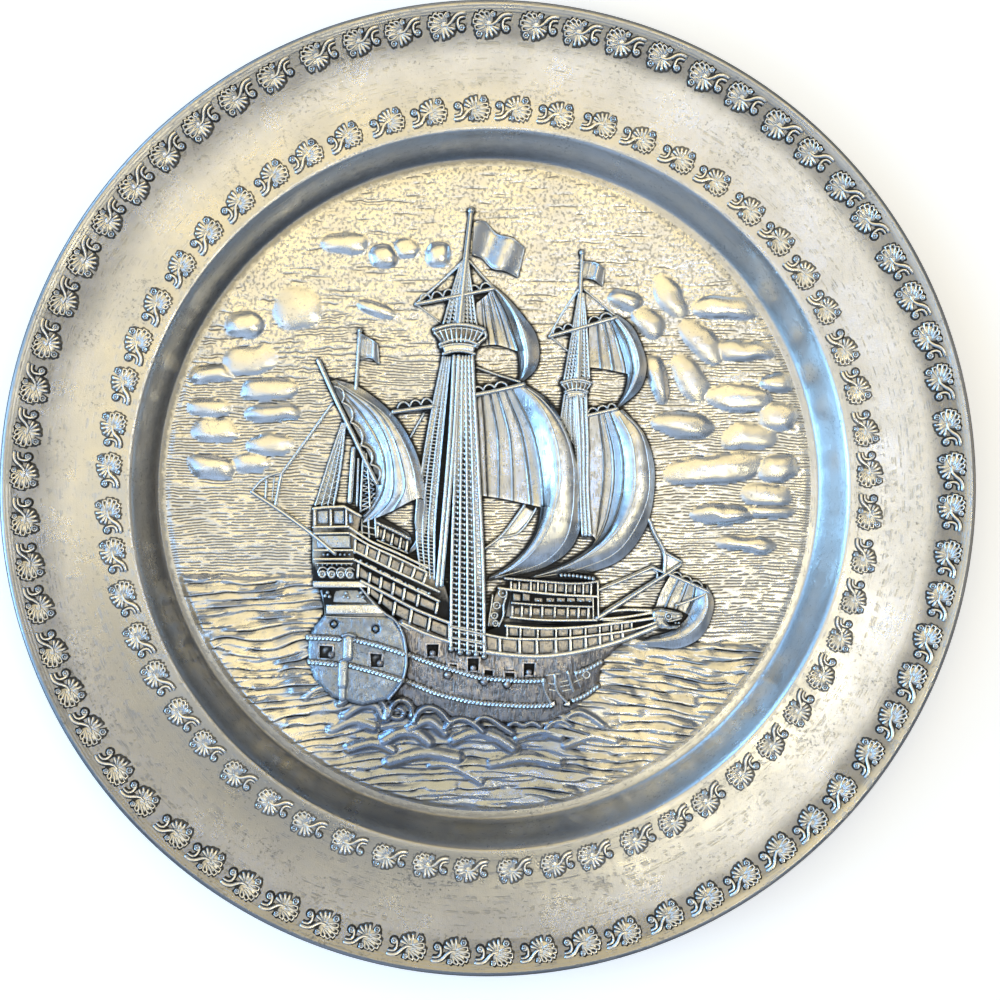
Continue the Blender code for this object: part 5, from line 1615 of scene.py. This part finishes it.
# Flags: upper edge, lower edge, how many folds, height above the floor
FLAGS = (
    (((-5.0, 78.4), (-2.6, 78.8), (1.9, 74.9), (6.2, 73.7), (9.7, 71.0)),
     ((-5.6, 69.2), (-3.1, 68.6), (0.9, 65.0), (4.1, 64.6), (7.8, 62.8)), 1.35, 2.6),
    (((26.9, 67.0), (29.8, 67.0), (33.3, 65.0)), ((26.7, 62.6), (29.6, 62.3), (32.8, 60.4)), 1.4, 2.4),
    (((-38.0, 45.8), (-35.6, 44.6), (-33.2, 42.8)), ((-38.2, 38.6), (-35.2, 39.2), (-32.8, 37.3)),
     1.3, 2.4),
)


def add_flags(material):
    flags = Shape("flags", material)
    along = np.linspace(0, 1, 26)
    for top_edge, bottom_edge, folds, top in FLAGS:
        upper, lower = through(top_edge, 26), through(bottom_edge, 26)

        def wave(share):
            return 0.9 * np.cos(2 * pi * folds * (along + 0.12 * share))

        rows = []
        for share in np.linspace(0, 1, 14):
            hem = 0.25 * (np.abs(2 * share - 1) > 0.9)
            rows.append(raised(upper * (1 - share) + lower * share, top + (wave(share) - hem)))
        flags.skirted(np.array(rows))
        for line, share in ((upper, 0.0), (lower, 1.0)):
            flags.bar(line[1:], 0.5, (top + wave(share) + 0.15)[1:], depth=0.6, step=1.2)
        end = [rows[0][-1, 2] + 0.4, rows[-1][-1, 2] + 0.4]
        flags.bar([upper[-1], lower[-1]], 0.5, end, depth=0.6, step=1.2)


# ---------------------------------------------------------------- patina from the relief itself

MAP_CELL = 0.25
MAP_SIDE = 1130
NEAR_STEPS = (0.3, 0.6, 1.0)
FAR_STEPS = (1.6, 2.6, 4.0)
DIRECTIONS = 12
SOFT = 0.6


def plate_surface(radius):
    """Height of the bare plate under the picture and the leaves."""
    rim = np.minimum(rim_height(radius), LIP_CENTRE_HEIGHT + LIP_RADIUS)
    return np.where(radius < RIM_INNER_RADIUS, wall_height(radius), rim)


def blurred(heights, reach):
    """The height map softened over a reach in millimetres."""
    side = heights.shape[0]
    along, across = np.fft.fftfreq(side, MAP_CELL), np.fft.rfftfreq(side, MAP_CELL)
    soften = np.exp(-2 * (pi * reach) ** 2 * (along[:, None] ** 2 + across[None, :] ** 2))
    return np.fft.irfft2(np.fft.rfft2(heights) * soften, s=heights.shape)


def read_map(grid, places):
    """The map's value at each place, between its cells."""
    spots = [np.clip(places[:, i] / MAP_CELL + MAP_SIDE / 2 - 0.5, 0, MAP_SIDE - 1.001) for i in (0, 1)]
    column, row = (spot.astype(int) for spot in spots)
    return eased_grid(grid, column, row, column + 1, row + 1, spots[0] - column, spots[1] - row)


def read_rows(items, label, kind):
    """What a mesh keeps on each of its items, three values to a row."""
    values = np.empty(len(items) * 3, kind)
    items.foreach_get(label, values)
    return values.reshape(-1, 3)


def height_map(pieces):
    """The highest place over every cell of the plate, found at many places on each triangle."""
    centres = (np.arange(MAP_SIDE) + 0.5 - MAP_SIDE / 2) * MAP_CELL
    heights = plate_surface(np.hypot(*np.meshgrid(centres, centres)))
    hand = np.random.default_rng(5)
    for piece in pieces:
        mesh = piece.data
        mesh.calc_loop_triangles()
        places = read_rows(mesh.vertices, "co", float) / MM
        a, b, c = places[read_rows(mesh.loop_triangles, "vertices", int)].transpose(1, 0, 2)
        facing_up = (b[:, 0] - a[:, 0]) * (c[:, 1] - a[:, 1]) - (b[:, 1] - a[:, 1]) * (c[:, 0] - a[:, 0])
        count = np.where(facing_up > 0, np.ceil(facing_up / MAP_CELL**2), 0).astype(int)
        a, b, c = (np.repeat(corner, count, axis=0) for corner in (a, b, c))
        s, t = hand.uniform(0, 1, (2, len(a), 1))
        s, t = np.where(s + t > 1, 1 - s, s), np.where(s + t > 1, 1 - t, t)
        hits = a + (b - a) * s + (c - a) * t
        cells = np.clip(((hits[:, :2] / MAP_CELL) + MAP_SIDE / 2).astype(int), 0, MAP_SIDE - 1)
        np.maximum.at(heights, (cells[:, 1], cells[:, 0]), hits[:, 2])
    return heights


def mark_recesses(pieces):
    """Stores on every point how far it lies below its surroundings, near and far, for the patina."""
    heights = height_map(pieces)
    soft = blurred(heights, SOFT).astype(np.float32)
    heights = heights.astype(np.float32)
    for piece in pieces:
        mesh = piece.data
        places = read_rows(mesh.vertices, "co", np.float32) / MM
        normals = read_rows(mesh.vertex_normals, "vector", np.float32)
        lean = -normals[:, :2] / np.maximum(normals[:, 2:], 0.25)
        marks = {"near": np.zeros(len(places)), "far": np.zeros(len(places))}
        for turn in np.arange(DIRECTIONS) * 2 * pi / DIRECTIONS:
            way = np.array([cos(turn), sin(turn)])
            own = np.maximum(lean @ way, 0)
            for mark, steps in (("near", NEAR_STEPS), ("far", FAR_STEPS)):
                slope = np.zeros(len(places))
                for step in steps:
                    rise = read_map(heights, places[:, :2] + step * way) - places[:, 2]
                    slope = np.maximum(slope, rise / step - own)
                marks[mark] += slope / np.sqrt(1 + slope**2) / DIRECTIONS
        marks["proud"] = places[:, 2] - read_map(soft, places)
        for mark, values in marks.items():
            store(mesh, "recess_" + mark, values)


# ---------------------------------------------------------------- materials

PATINA_COLOUR = (0.010, 0.010, 0.012)
# Colours of the broad darkening: tarnish with painted shade on the rim, painted blue-grey shade on the sea
# under the hull
DARKENING_COLOURS = {"tarnish": (0.16, 0.165, 0.18), "shelter": (0.20, 0.26, 0.38)}
STROKE_COLOUR = (0.085, 0.062, 0.036)
PEWTER_DEEP = (0.46, 0.455, 0.44)
PEWTER_PALE = (0.84, 0.835, 0.82)
PEWTER_BRIGHT = (0.95, 0.945, 0.93)

# How much each layer shows, and what it does to the metal
RUBBED_SHARE = 0.8
FLECK_SHARE = 0.45
PATINA_SHARE = 0.96
STAIN_ROUGHNESS = 0.3
STAIN_METALLIC = -0.6
STROKE_HEIGHT = 1.4
BUMP_DISTANCE = 0.00012

# The painted shade at the foot of the wall, in metres from the axis: where it begins, is full, fades and
# ends
FOOT_SHADE_BAND = (0.0952, 0.0964, 0.0975, 0.1025)


class Nodes:
    """Short calls for laying out a node tree."""

    def __init__(self, tree):
        self.tree = tree
        tree.nodes.clear()

    def node(self, kind, inputs=None, **settings):
        made = self.tree.nodes.new("ShaderNode" + kind)
        for name, value in settings.items():
            setattr(made, name, value)
        for name, value in (inputs or {}).items():
            socket = made.inputs[name]
            if isinstance(value, bpy.types.NodeSocket):
                self.tree.links.new(value, socket)
            else:
                socket.default_value = value
        return made

    def math(self, operation, *values, clamp=False):
        return self.node("Math", dict(enumerate(values)), operation=operation, use_clamp=clamp).outputs[0]

    def times(self, first, *others):
        for value in others:
            first = self.math("MULTIPLY", first, value)
        return first

    def most(self, first, *others):
        for value in others:
            first = self.math("MAXIMUM", first, value)
        return first

    def line(self, value, slope, start):
        """A value times a slope, and a start added."""
        return self.math("MULTIPLY_ADD", value, slope, start)

    def between(self, value, low, high, to_low=0.0, to_high=1.0):
        inputs = {"Value": value, "From Min": low, "From Max": high, "To Min": to_low, "To Max": to_high}
        return self.node("MapRange", inputs, interpolation_type="SMOOTHSTEP").outputs["Result"]

    def mix(self, share, first, second):
        first, second = ((*value, 1) if isinstance(value, tuple) else value for value in (first, second))
        return self.node("Mix", {0: share, 6: first, 7: second}, data_type="RGBA").outputs[2]

    def noise(self, places, scale, detail=2.0, roughness=0.5):
        inputs = {"Vector": places, "Scale": scale, "Detail": detail, "Roughness": roughness}
        return self.node("TexNoise", inputs).outputs["Fac"]

    def uneven(self, *settings):
        """Noise to both sides of zero."""
        return self.math("SUBTRACT", self.noise(*settings), 0.5)

    def mark(self, name):
        """A value that is kept on the mesh."""
        return self.node("Attribute", attribute_name=name).outputs["Fac"]

    def places(self):
        return self.node("TexCoord").outputs["Object"]

    def apart(self, places):
        return self.node("SeparateXYZ", {0: places}).outputs

    def radius(self, apart):
        squares = [self.math("POWER", apart[i], 2.0) for i in (0, 1)]
        return self.math("SQRT", self.math("ADD", *squares))

    def surface(self, kind, **inputs):
        """The shader, and the output that shows it."""
        shader = self.node(kind, {name.replace("_", " "): value for name, value in inputs.items()})
        self.node("OutputMaterial", {"Surface": shader.outputs[0]})


def group(name, inputs, *outputs):
    """A shader node group with named sockets: calls for filling it, its inputs, and a call that ends it."""
    tree = bpy.data.node_groups.new(name, "ShaderNodeTree")
    nodes = Nodes(tree)
    for label, value in inputs.items():
        tree.interface.new_socket(
            label, in_out="INPUT", socket_type="NodeSocketFloat",
        ).default_value = value
    for label in outputs:
        tree.interface.new_socket(label, in_out="OUTPUT", socket_type="NodeSocketFloat")
    given = tree.nodes.new("NodeGroupInput").outputs
    result = tree.nodes.new("NodeGroupOutput").inputs

    def put_out(**values):
        for label, value in values.items():
            tree.links.new(value, result[label])
        return tree

    return nodes, given, put_out


def patina_group():
    """Black patina that has stayed in the recesses, and metal rubbed bright on the high places."""
    inputs = {"Start": 0.1, "Full": 0.5, "Reach": 0.25, "Ragged": 0.3}
    nodes, given, put_out = group("recess_patina", inputs, "Patina", "Rubbed")
    ragged = nodes.uneven(nodes.places(), 1400, 3, 0.6)
    depth = nodes.line(nodes.mark("recess_far"), given["Reach"], nodes.mark("recess_near"))
    depth = nodes.line(ragged, given["Ragged"], depth)
    patina = nodes.between(depth, given["Start"], given["Full"])
    return put_out(Patina=patina, Rubbed=nodes.between(nodes.mark("recess_proud"), 0.03, 0.45))


def mottle_group():
    """Uneven tone of old pewter: cloudy patches, clusters of small dark flecks, and a fine grain."""
    inputs = {"Patches": 60.0, "Flecks": 900.0, "Fleck share": 0.3}
    nodes, given, put_out = group("pewter_mottle", inputs, "Cloud", "Flecks", "Height")
    places = nodes.places()
    cloud = nodes.noise(places, given["Patches"], 6, 0.66)
    fleck = nodes.noise(places, given["Flecks"], 5, 0.7)
    where = nodes.noise(places, nodes.times(given["Patches"], 1.7), 4, 0.6)
    edge = nodes.line(where, -0.45, nodes.line(given["Fleck share"], -0.14, 0.82))
    mask = nodes.between(fleck, edge, nodes.math("ADD", edge, 0.14))
    return put_out(Cloud=cloud, Flecks=mask, Height=nodes.noise(places, 2600, 2, 0.6))


def strokes_group():
    """Fine broken strokes cut by a graver, drawn out along one way and wandering a little."""
    inputs = {"Across": 200.0, "Up": 700.0, "Around": 0.0, "Width": 0.06, "Broken": 0.5}
    nodes, given, put_out = group("graver_strokes", inputs, "Strokes", "Height")
    places = nodes.places()
    apart = nodes.apart(places)
    turn = nodes.times(nodes.math("ARCTAN2", apart[1], apart[0]), 0.11)
    flat, bent = (
        nodes.node(
            "CombineXYZ", {0: nodes.times(x, given["Across"]), 1: nodes.times(y, given["Up"])},
        ).outputs[0]
        for x, y in ((apart[0], apart[1]), (turn, nodes.radius(apart)))
    )
    chosen = nodes.node("Mix", {0: given["Around"], 4: flat, 5: bent}, data_type="VECTOR").outputs[1]
    line = nodes.noise(chosen, 1.0, 2, 0.5)
    off = nodes.math("ABSOLUTE", nodes.math("SUBTRACT", line, 0.5))
    cut = nodes.math("SUBTRACT", 1.0, nodes.between(off, 0.0, given["Width"]))
    low = nodes.line(given["Broken"], 0.22, 0.36)
    cut = nodes.times(
        cut, nodes.between(nodes.noise(places, 520, 2, 0.5), low, nodes.math("ADD", low, 0.1)),
    )
    return put_out(Strokes=cut, Height=nodes.math("SUBTRACT", nodes.times(line, 0.6), cut))


def engraving_group():
    """Dark left in the strokes that are cut into the sky, and a grain that grows towards its top."""
    inputs = {"Start": 0.4, "Full": 0.85, "Ragged": 0.5}
    nodes, given, put_out = group("engraved_strokes", inputs, "Strokes", "Height")
    depth, places = nodes.mark("engraved"), nodes.places()
    ragged = nodes.uneven(places, 1500, 3, 0.6)
    cut = nodes.between(nodes.line(ragged, given["Ragged"], depth), given["Start"], given["Full"])
    grain = nodes.times(
        nodes.between(nodes.noise(places, 1050, 2, 0.6), 0.47, 0.66),
        nodes.between(nodes.apart(places)[1], -0.01, 0.06, 0.15, 0.65),
        nodes.between(depth, -0.5, -0.1),
    )
    return put_out(Strokes=nodes.most(cut, grain), Height=nodes.times(nodes.most(depth, 0.0, grain), -1.0))


def tarnish_and_shade_group():
    """Broad darkening of the rim: tarnish under the outer leaves, and painted shade at the foot of the wall
    and towards the lower left.
    """
    inputs = {"Band start": 0.1255, "Band end": 0.1315, "Band close": 0.138, "Side": 0.75, "Foot": 0.8}
    nodes, given, put_out = group("rim_tarnish", inputs, "Tarnish")
    places = nodes.places()
    apart = nodes.apart(places)
    radius = nodes.radius(apart)
    soft = nodes.line(nodes.uneven(places, 70, 5, 0.65), 0.006, radius)
    start = nodes.math("SUBTRACT", given["Band start"], nodes.between(apart[0], 0.03, -0.11, 0.0, 0.007))
    close = nodes.math("SUBTRACT", given["Band close"], 0.002)
    band = nodes.times(
        nodes.between(soft, start, given["Band end"]),
        nodes.between(nodes.noise(places, 26, 3, 0.6), 0.25, 0.75, 0.75, 1.0),
        nodes.between(radius, close, given["Band close"], 1.0, 0.3),
    )
    # Painted shade: the rim darker towards the lower left
    aside = nodes.math("ADD", nodes.times(apart[0], -4.0), nodes.times(apart[1], -8.0))
    aside = nodes.math("ADD", aside, nodes.times(nodes.noise(places, 18, 3, 0.5), 0.3))
    aside = nodes.times(nodes.between(aside, 0.55, 1.2), given["Side"])
    # Painted shade at the foot of the wall, heaviest on the left
    rough = nodes.line(nodes.uneven(places, 420, 4, 0.7), 0.004, radius)
    lower = nodes.math("SUBTRACT", rough, nodes.between(apart[1], 0.02, -0.06, 0.0, 0.0035))
    foot = nodes.times(
        nodes.between(rough, *FOOT_SHADE_BAND[:2]),
        nodes.between(lower, *FOOT_SHADE_BAND[2:], 1.0, 0.0),
        nodes.between(apart[0], -0.01, 0.06, 1.0, 0.1),
        given["Foot"],
    )
    return put_out(Tarnish=nodes.most(band, aside, foot))


def under_hull_shade_group():
    """Painted blue-grey shade on the sea where it lies close under the hull."""
    nodes, given, put_out = group("sheltered_film", {"Amount": 1.0}, "Tarnish")
    return put_out(Tarnish=nodes.times(nodes.mark("sheltered"), given["Amount"]))


GROUPS = {
    "patina": patina_group, "mottle": mottle_group, "strokes": strokes_group, "engraving": engraving_group,
    "tarnish": tarnish_and_shade_group, "shelter": under_hull_shade_group,
}

# Strokes of the graver: across, up, around, width and gaps
ALONG_SEA = (240, 900, 0.0, 0.04, 0.8)
TURNED = (14, 900, 1.0, 0.05, 0.7)
UPRIGHT = (1500, 190, 0.0, 0.09, 0.35)
DOWN_SAILS = (1300, 130, 0.0, 0.05, 0.5)
IN_SKY = (0.3, 0.78, 0.6)
WARM = dict(tint=(1.0, 0.92, 0.82))

# Metals: name, patina (start, full, reach, raggedness), mottle (patches, flecks, share of flecks), strokes,
# how much the strokes show, tone, shade, roughness, bump, and what else differs
METALS = (
    # The rim: its broad darkening is tarnish under the outer leaves, with painted shade at the wall's foot
    # and towards the lower left
    ("rim", (0.3, 1.1, 1.0, 0.2), (45, 1100, 0.1),
     TURNED, 0.12, 0.42, 1.0, 0.3, 0.3, dict(tarnish=0.85, spread=0.1)),
    ("leaf", (0.1, 0.42, 0.2, 0.2), (120, 1200, 0.2), ALONG_SEA, 0.0, 0.42, 0.88, 0.28, 0.2, {}),
    ("leaf_ground", (-0.2, 0.3, 0.4, 0.3), (120, 1200, 0.2), ALONG_SEA, 0.0, 0.2, 0.45, 0.38, 0.2, {}),
    ("outer_leaf", (0.02, 0.32, 0.3, 0.2), (120, 1200, 0.2), ALONG_SEA, 0.0, 0.36, 0.76, 0.28, 0.2, {}),
    ("outer_ground", (-0.25, 0.2, 0.4, 0.3), (120, 1200, 0.2), ALONG_SEA, 0.0, 0.2, 0.34, 0.38, 0.2, {}),
    ("sky", (0.2, 0.65, 0.4, 0.25), (90, 1100, 0.04), IN_SKY, 0.74, 0.86, 1.0, 0.26, 0.3,
     dict(spread=0.12, graver="engraving")),
    # The sea: its broad darkening is painted blue-grey shade under the hull
    ("sea", (0.16, 0.6, 0.25, 0.2), (120, 1100, 0.05), ALONG_SEA, 0.1, 0.7, 0.97, 0.26, 0.2,
     dict(tarnish=0.66, spread=0.15, film="shelter")),
    # Sails: the slight blue tint is a painted reflection of the blue window light
    ("sail", (0.14, 0.6, 0.36, 0.2), (110, 1300, 0.1), DOWN_SAILS, 0.2, 0.45, 0.86, 0.28, 0.2,
     dict(spread=0.12, tint=(0.95, 0.97, 1.0))),
    ("hull", (0.1, 0.45, 0.3, 0.2), (120, 1300, 0.3),
     UPRIGHT, 0.55, 0.35, 0.68, 0.3, 0.7, dict(tint=(1.0, 0.95, 0.97))),
    # The stern: its blue tint is a painted reflection of the blue window light
    ("stern", (0.1, 0.45, 0.35, 0.2), (200, 1300, 0.3), UPRIGHT, 0.06, 0.35, 0.64, 0.28, 0.3,
     dict(spread=0.15, tint=(0.80, 0.88, 1.0))),
    ("cushion", (0.05, 0.42, 0.4, 0.3), (200, 1300, 0.5), UPRIGHT, 0.2, 0.2, 0.42, 0.36, 0.3, WARM),
    ("recess", (0.0, 0.4, 0.5, 0.3), (200, 1300, 0.5), UPRIGHT, 0.2, 0.2, 0.42, 0.42, 0.3, WARM),
    # Rigging: the slight blue tint is a painted reflection of the blue window light
    ("rigging", (0.08, 0.42, 0.25, 0.2), (200, 1500, 0.1), UPRIGHT, 0.0, 0.45, 0.88, 0.25, 0.12,
     dict(tint=(0.94, 0.97, 1.0))),
)


def new_material(name):
    material = bpy.data.materials.new(name)
    material.use_nodes = True
    return material, Nodes(material.node_tree)


def pewter(
    name, groups, patina, mottle, strokes, cut, tone, shade, roughness, bump,
    tarnish=0.0, spread=0.3, tint=(1.0, 1.0, 1.0), graver="strokes", film="tarnish",
):
    """Aged pewter: metal of uneven tone, rubbed on its high places, under broad darkening, strokes and
    patina. The broad darkening is tarnish with painted shade on the rim, and painted blue-grey shade on the
    sea.
    """
    material, nodes = new_material(name)
    recess, patches, engraved = (
        nodes.node("Group", dict(enumerate(values)), node_tree=groups[label])
        for label, values in (("patina", patina), ("mottle", mottle), (graver, strokes))
    )

    def shaded(colour, amount):
        return tuple(value * amount * share for value, share in zip(colour, tint))

    cloud = nodes.between(patches.outputs["Cloud"], 0.3, 0.7, tone - spread, tone + spread)
    colour = nodes.mix(cloud, shaded(PEWTER_DEEP, shade), shaded(PEWTER_PALE, shade))
    rubbed = nodes.times(recess.outputs["Rubbed"], RUBBED_SHARE)
    colour = nodes.mix(rubbed, colour, shaded(PEWTER_BRIGHT, min(1.0, 0.3 + 0.7 * shade)))
    # Broad darkening: tarnish with painted shade on the rim, painted blue-grey shade on the sea under the
    # hull
    if tarnish:
        broad = nodes.node("Group", node_tree=groups[film])
        colour = nodes.mix(nodes.times(broad.outputs["Tarnish"], tarnish), colour, DARKENING_COLOURS[film])
    stained = nodes.most(recess.outputs["Patina"], nodes.times(patches.outputs["Flecks"], FLECK_SHARE))
    lines = nodes.times(engraved.outputs["Strokes"], cut)
    colour = nodes.mix(lines, colour, STROKE_COLOUR)
    colour = nodes.mix(nodes.times(stained, PATINA_SHARE), colour, PATINA_COLOUR)
    stained = nodes.most(stained, lines)
    rough = nodes.between(patches.outputs["Cloud"], 0.3, 0.7, roughness + 0.06, roughness - 0.05)
    rough = nodes.math("MULTIPLY_ADD", stained, STAIN_ROUGHNESS, rough, clamp=True)
    height = nodes.line(engraved.outputs["Height"], STROKE_HEIGHT, patches.outputs["Height"])
    bumped = nodes.node("Bump", {"Height": height, "Strength": bump, "Distance": BUMP_DISTANCE})
    metallic = nodes.math("MULTIPLY_ADD", stained, STAIN_METALLIC, 1.0, clamp=True)
    nodes.surface(
        "BsdfPrincipled", Base_Color=colour, Roughness=rough, Metallic=metallic,
        Normal=bumped.outputs["Normal"],
    )
    return material


# ---------------------------------------------------------------- studio

FLOOR_HALF = 3.0
FLOOR_DROP = 0.0004

CAMERA_PLACE = (-0.029, 0.024, 0.612)
CAMERA_AIM = (0.0023, -0.0024, 0.0105)
CAMERA_LENS = 74.6

# Lamps: name, place, aim, size, power, colour, turn
MIDDLE = (0.0, 0.0, 0.0)
LAMPS = (
    ("overhead", (0.0, 0.36, 0.78), (0.0, 0.36, 0.0), (0.90, 0.70), 2.82, (1.0, 0.79, 0.36), 30),
    ("overhead_right", (0.20, -0.145, 0.78), (0.20, -0.145, 0.0), (0.30, 0.13), 0.72, (1.0, 0.86, 0.50), 5),
    ("overhead_blue", (0.135, -0.01, 0.78), (0.135, -0.01, 0.0), (0.08, 0.08), 0.18, (0.0, 0.30, 1.0), 0),
    ("overhead_far_right", (0.62, -0.02, 0.78), (0.62, -0.02, 0.0), (0.36, 0.70), 0.24,
     (0.78, 0.88, 1.0), 0),
    ("overhead_left", (-0.30, -0.22, 0.78), (-0.30, -0.22, 0.0), (0.34, 0.30), 0.46, (0.75, 0.86, 1.0), 0),
    ("front_high", (0.0, -0.66, 0.70), MIDDLE, (1.0, 0.5), 0.85, (0.52, 0.70, 1.0), 0),
    ("window_left", (-1.10, -0.15, 0.30), MIDDLE, (0.80, 0.50), 11.0, (0.30, 0.62, 1.0), 0),
    ("window_back_left", (-0.85, 0.75, 0.30), MIDDLE, (0.70, 0.50), 6.0, (0.26, 0.56, 1.0), 0),
    ("window_left_high", (-0.66, -0.05, 0.72), MIDDLE, (0.50, 0.60), 1.6, (0.36, 0.62, 1.0), 0),
    ("far_top", (0.0, 1.2, 0.35), MIDDLE, (0.60, 0.40), 0.6, (1.0, 0.85, 0.60), 0),
    ("low_right", (1.0, 0.0, 0.40), MIDDLE, (0.50, 0.50), 0.4, (1.0, 0.75, 0.35), 0),
    ("low_front", (-0.30, -1.0, 0.35), MIDDLE, (0.60, 0.50), 0.7, (0.50, 0.68, 1.0), 0),
)


def add_floor():
    mesh = bpy.data.meshes.new("floor")
    signs = ((-1, -1), (1, -1), (1, 1), (-1, 1))
    mesh.from_pydata([(x * FLOOR_HALF, y * FLOOR_HALF, -FLOOR_DROP) for x, y in signs], [], [(0, 1, 2, 3)])
    material, nodes = new_material("pale_floor")
    tone = nodes.mix(nodes.noise(nodes.places(), 3, 2), (0.93, 0.93, 0.93), (0.96, 0.96, 0.96))
    nodes.surface(
        "BsdfPrincipled", Base_Color=tone, Roughness=0.8, Emission_Color=tone, Emission_Strength=0.45,
    )
    mesh.materials.append(material)
    place_object("floor", mesh)


def turned_to(thing, place, target, top=(0, 1, 0)):
    """Puts a lamp or the camera at a place and turns it to look at a target."""
    back = (Vector(place) - Vector(target)).normalized()
    right = Vector(top).cross(back).normalized()
    thing.location = place
    thing.rotation_mode = "QUATERNION"
    thing.rotation_quaternion = Matrix((right, back.cross(right), back)).transposed().to_quaternion()


def add_lamp(name, place, aim, size, power, colour, turn):
    data = bpy.data.lights.new(name, "AREA")
    data.shape = "RECTANGLE"
    data.size, data.size_y = size
    data.energy, data.color = power, colour
    turned_to(place_object(name, data), place, aim, (-sin(radians(turn)), cos(radians(turn)), 0))


def add_studio():
    add_floor()
    for lamp in LAMPS:
        add_lamp(*lamp)
    world = bpy.data.worlds.new("studio")
    world.use_nodes = True
    nodes = Nodes(world.node_tree)
    light = nodes.node("Background", {"Color": (0.60, 0.76, 1.0, 1), "Strength": 0.22})
    nodes.node("OutputWorld", {"Surface": light.outputs[0]})
    scene = bpy.context.scene
    scene.world = world
    scene.view_settings.view_transform = "Standard"
    data = bpy.data.cameras.new("camera")
    data.lens, data.sensor_width = CAMERA_LENS, 36
    data.clip_start, data.clip_end = 0.01, 20
    scene.camera = place_object("camera", data)
    turned_to(scene.camera, CAMERA_PLACE, CAMERA_AIM)


def main():
    add_studio()
    groups = {label: build() for label, build in GROUPS.items()}
    metal = {row[0]: pewter(row[0] + "_pewter", groups, *row[1:-1], **row[-1]) for row in METALS}
    rigging, dark = metal["rigging"], metal["recess"]
    add_plate_body(metal["rim"])
    add_leaf_ring("outer_leaves", metal["outer_leaf"], metal["outer_ground"], OUTER_RING)
    add_leaf_ring("inner_leaves", metal["leaf"], metal["leaf_ground"], INNER_RING)
    add_ground(metal["sky"], metal["sea"])
    add_hull_side(metal["hull"])
    add_transom(metal["stern"])
    add_hull_fittings(rigging, dark, metal["hull"])
    panels = Shape("rail_panels", metal["cushion"])
    add_sterncastle(rigging, dark, metal["stern"])
    for add_part in (add_quarterdeck, add_after_rail, add_bulwark, add_forecastle):
        add_part(rigging, dark, panels)
    add_beak_head(rigging)
    add_masts(rigging)
    add_shrouds(rigging)
    add_mizzen_rigging(rigging)
    add_stays(rigging)
    add_tops(rigging, dark)
    add_yards(rigging)
    add_sails(metal["sail"])
    add_flags(metal["sail"])
    mark_recesses([shape.finish() for shape in shapes])


main()
bpy.context.view_layer.update()
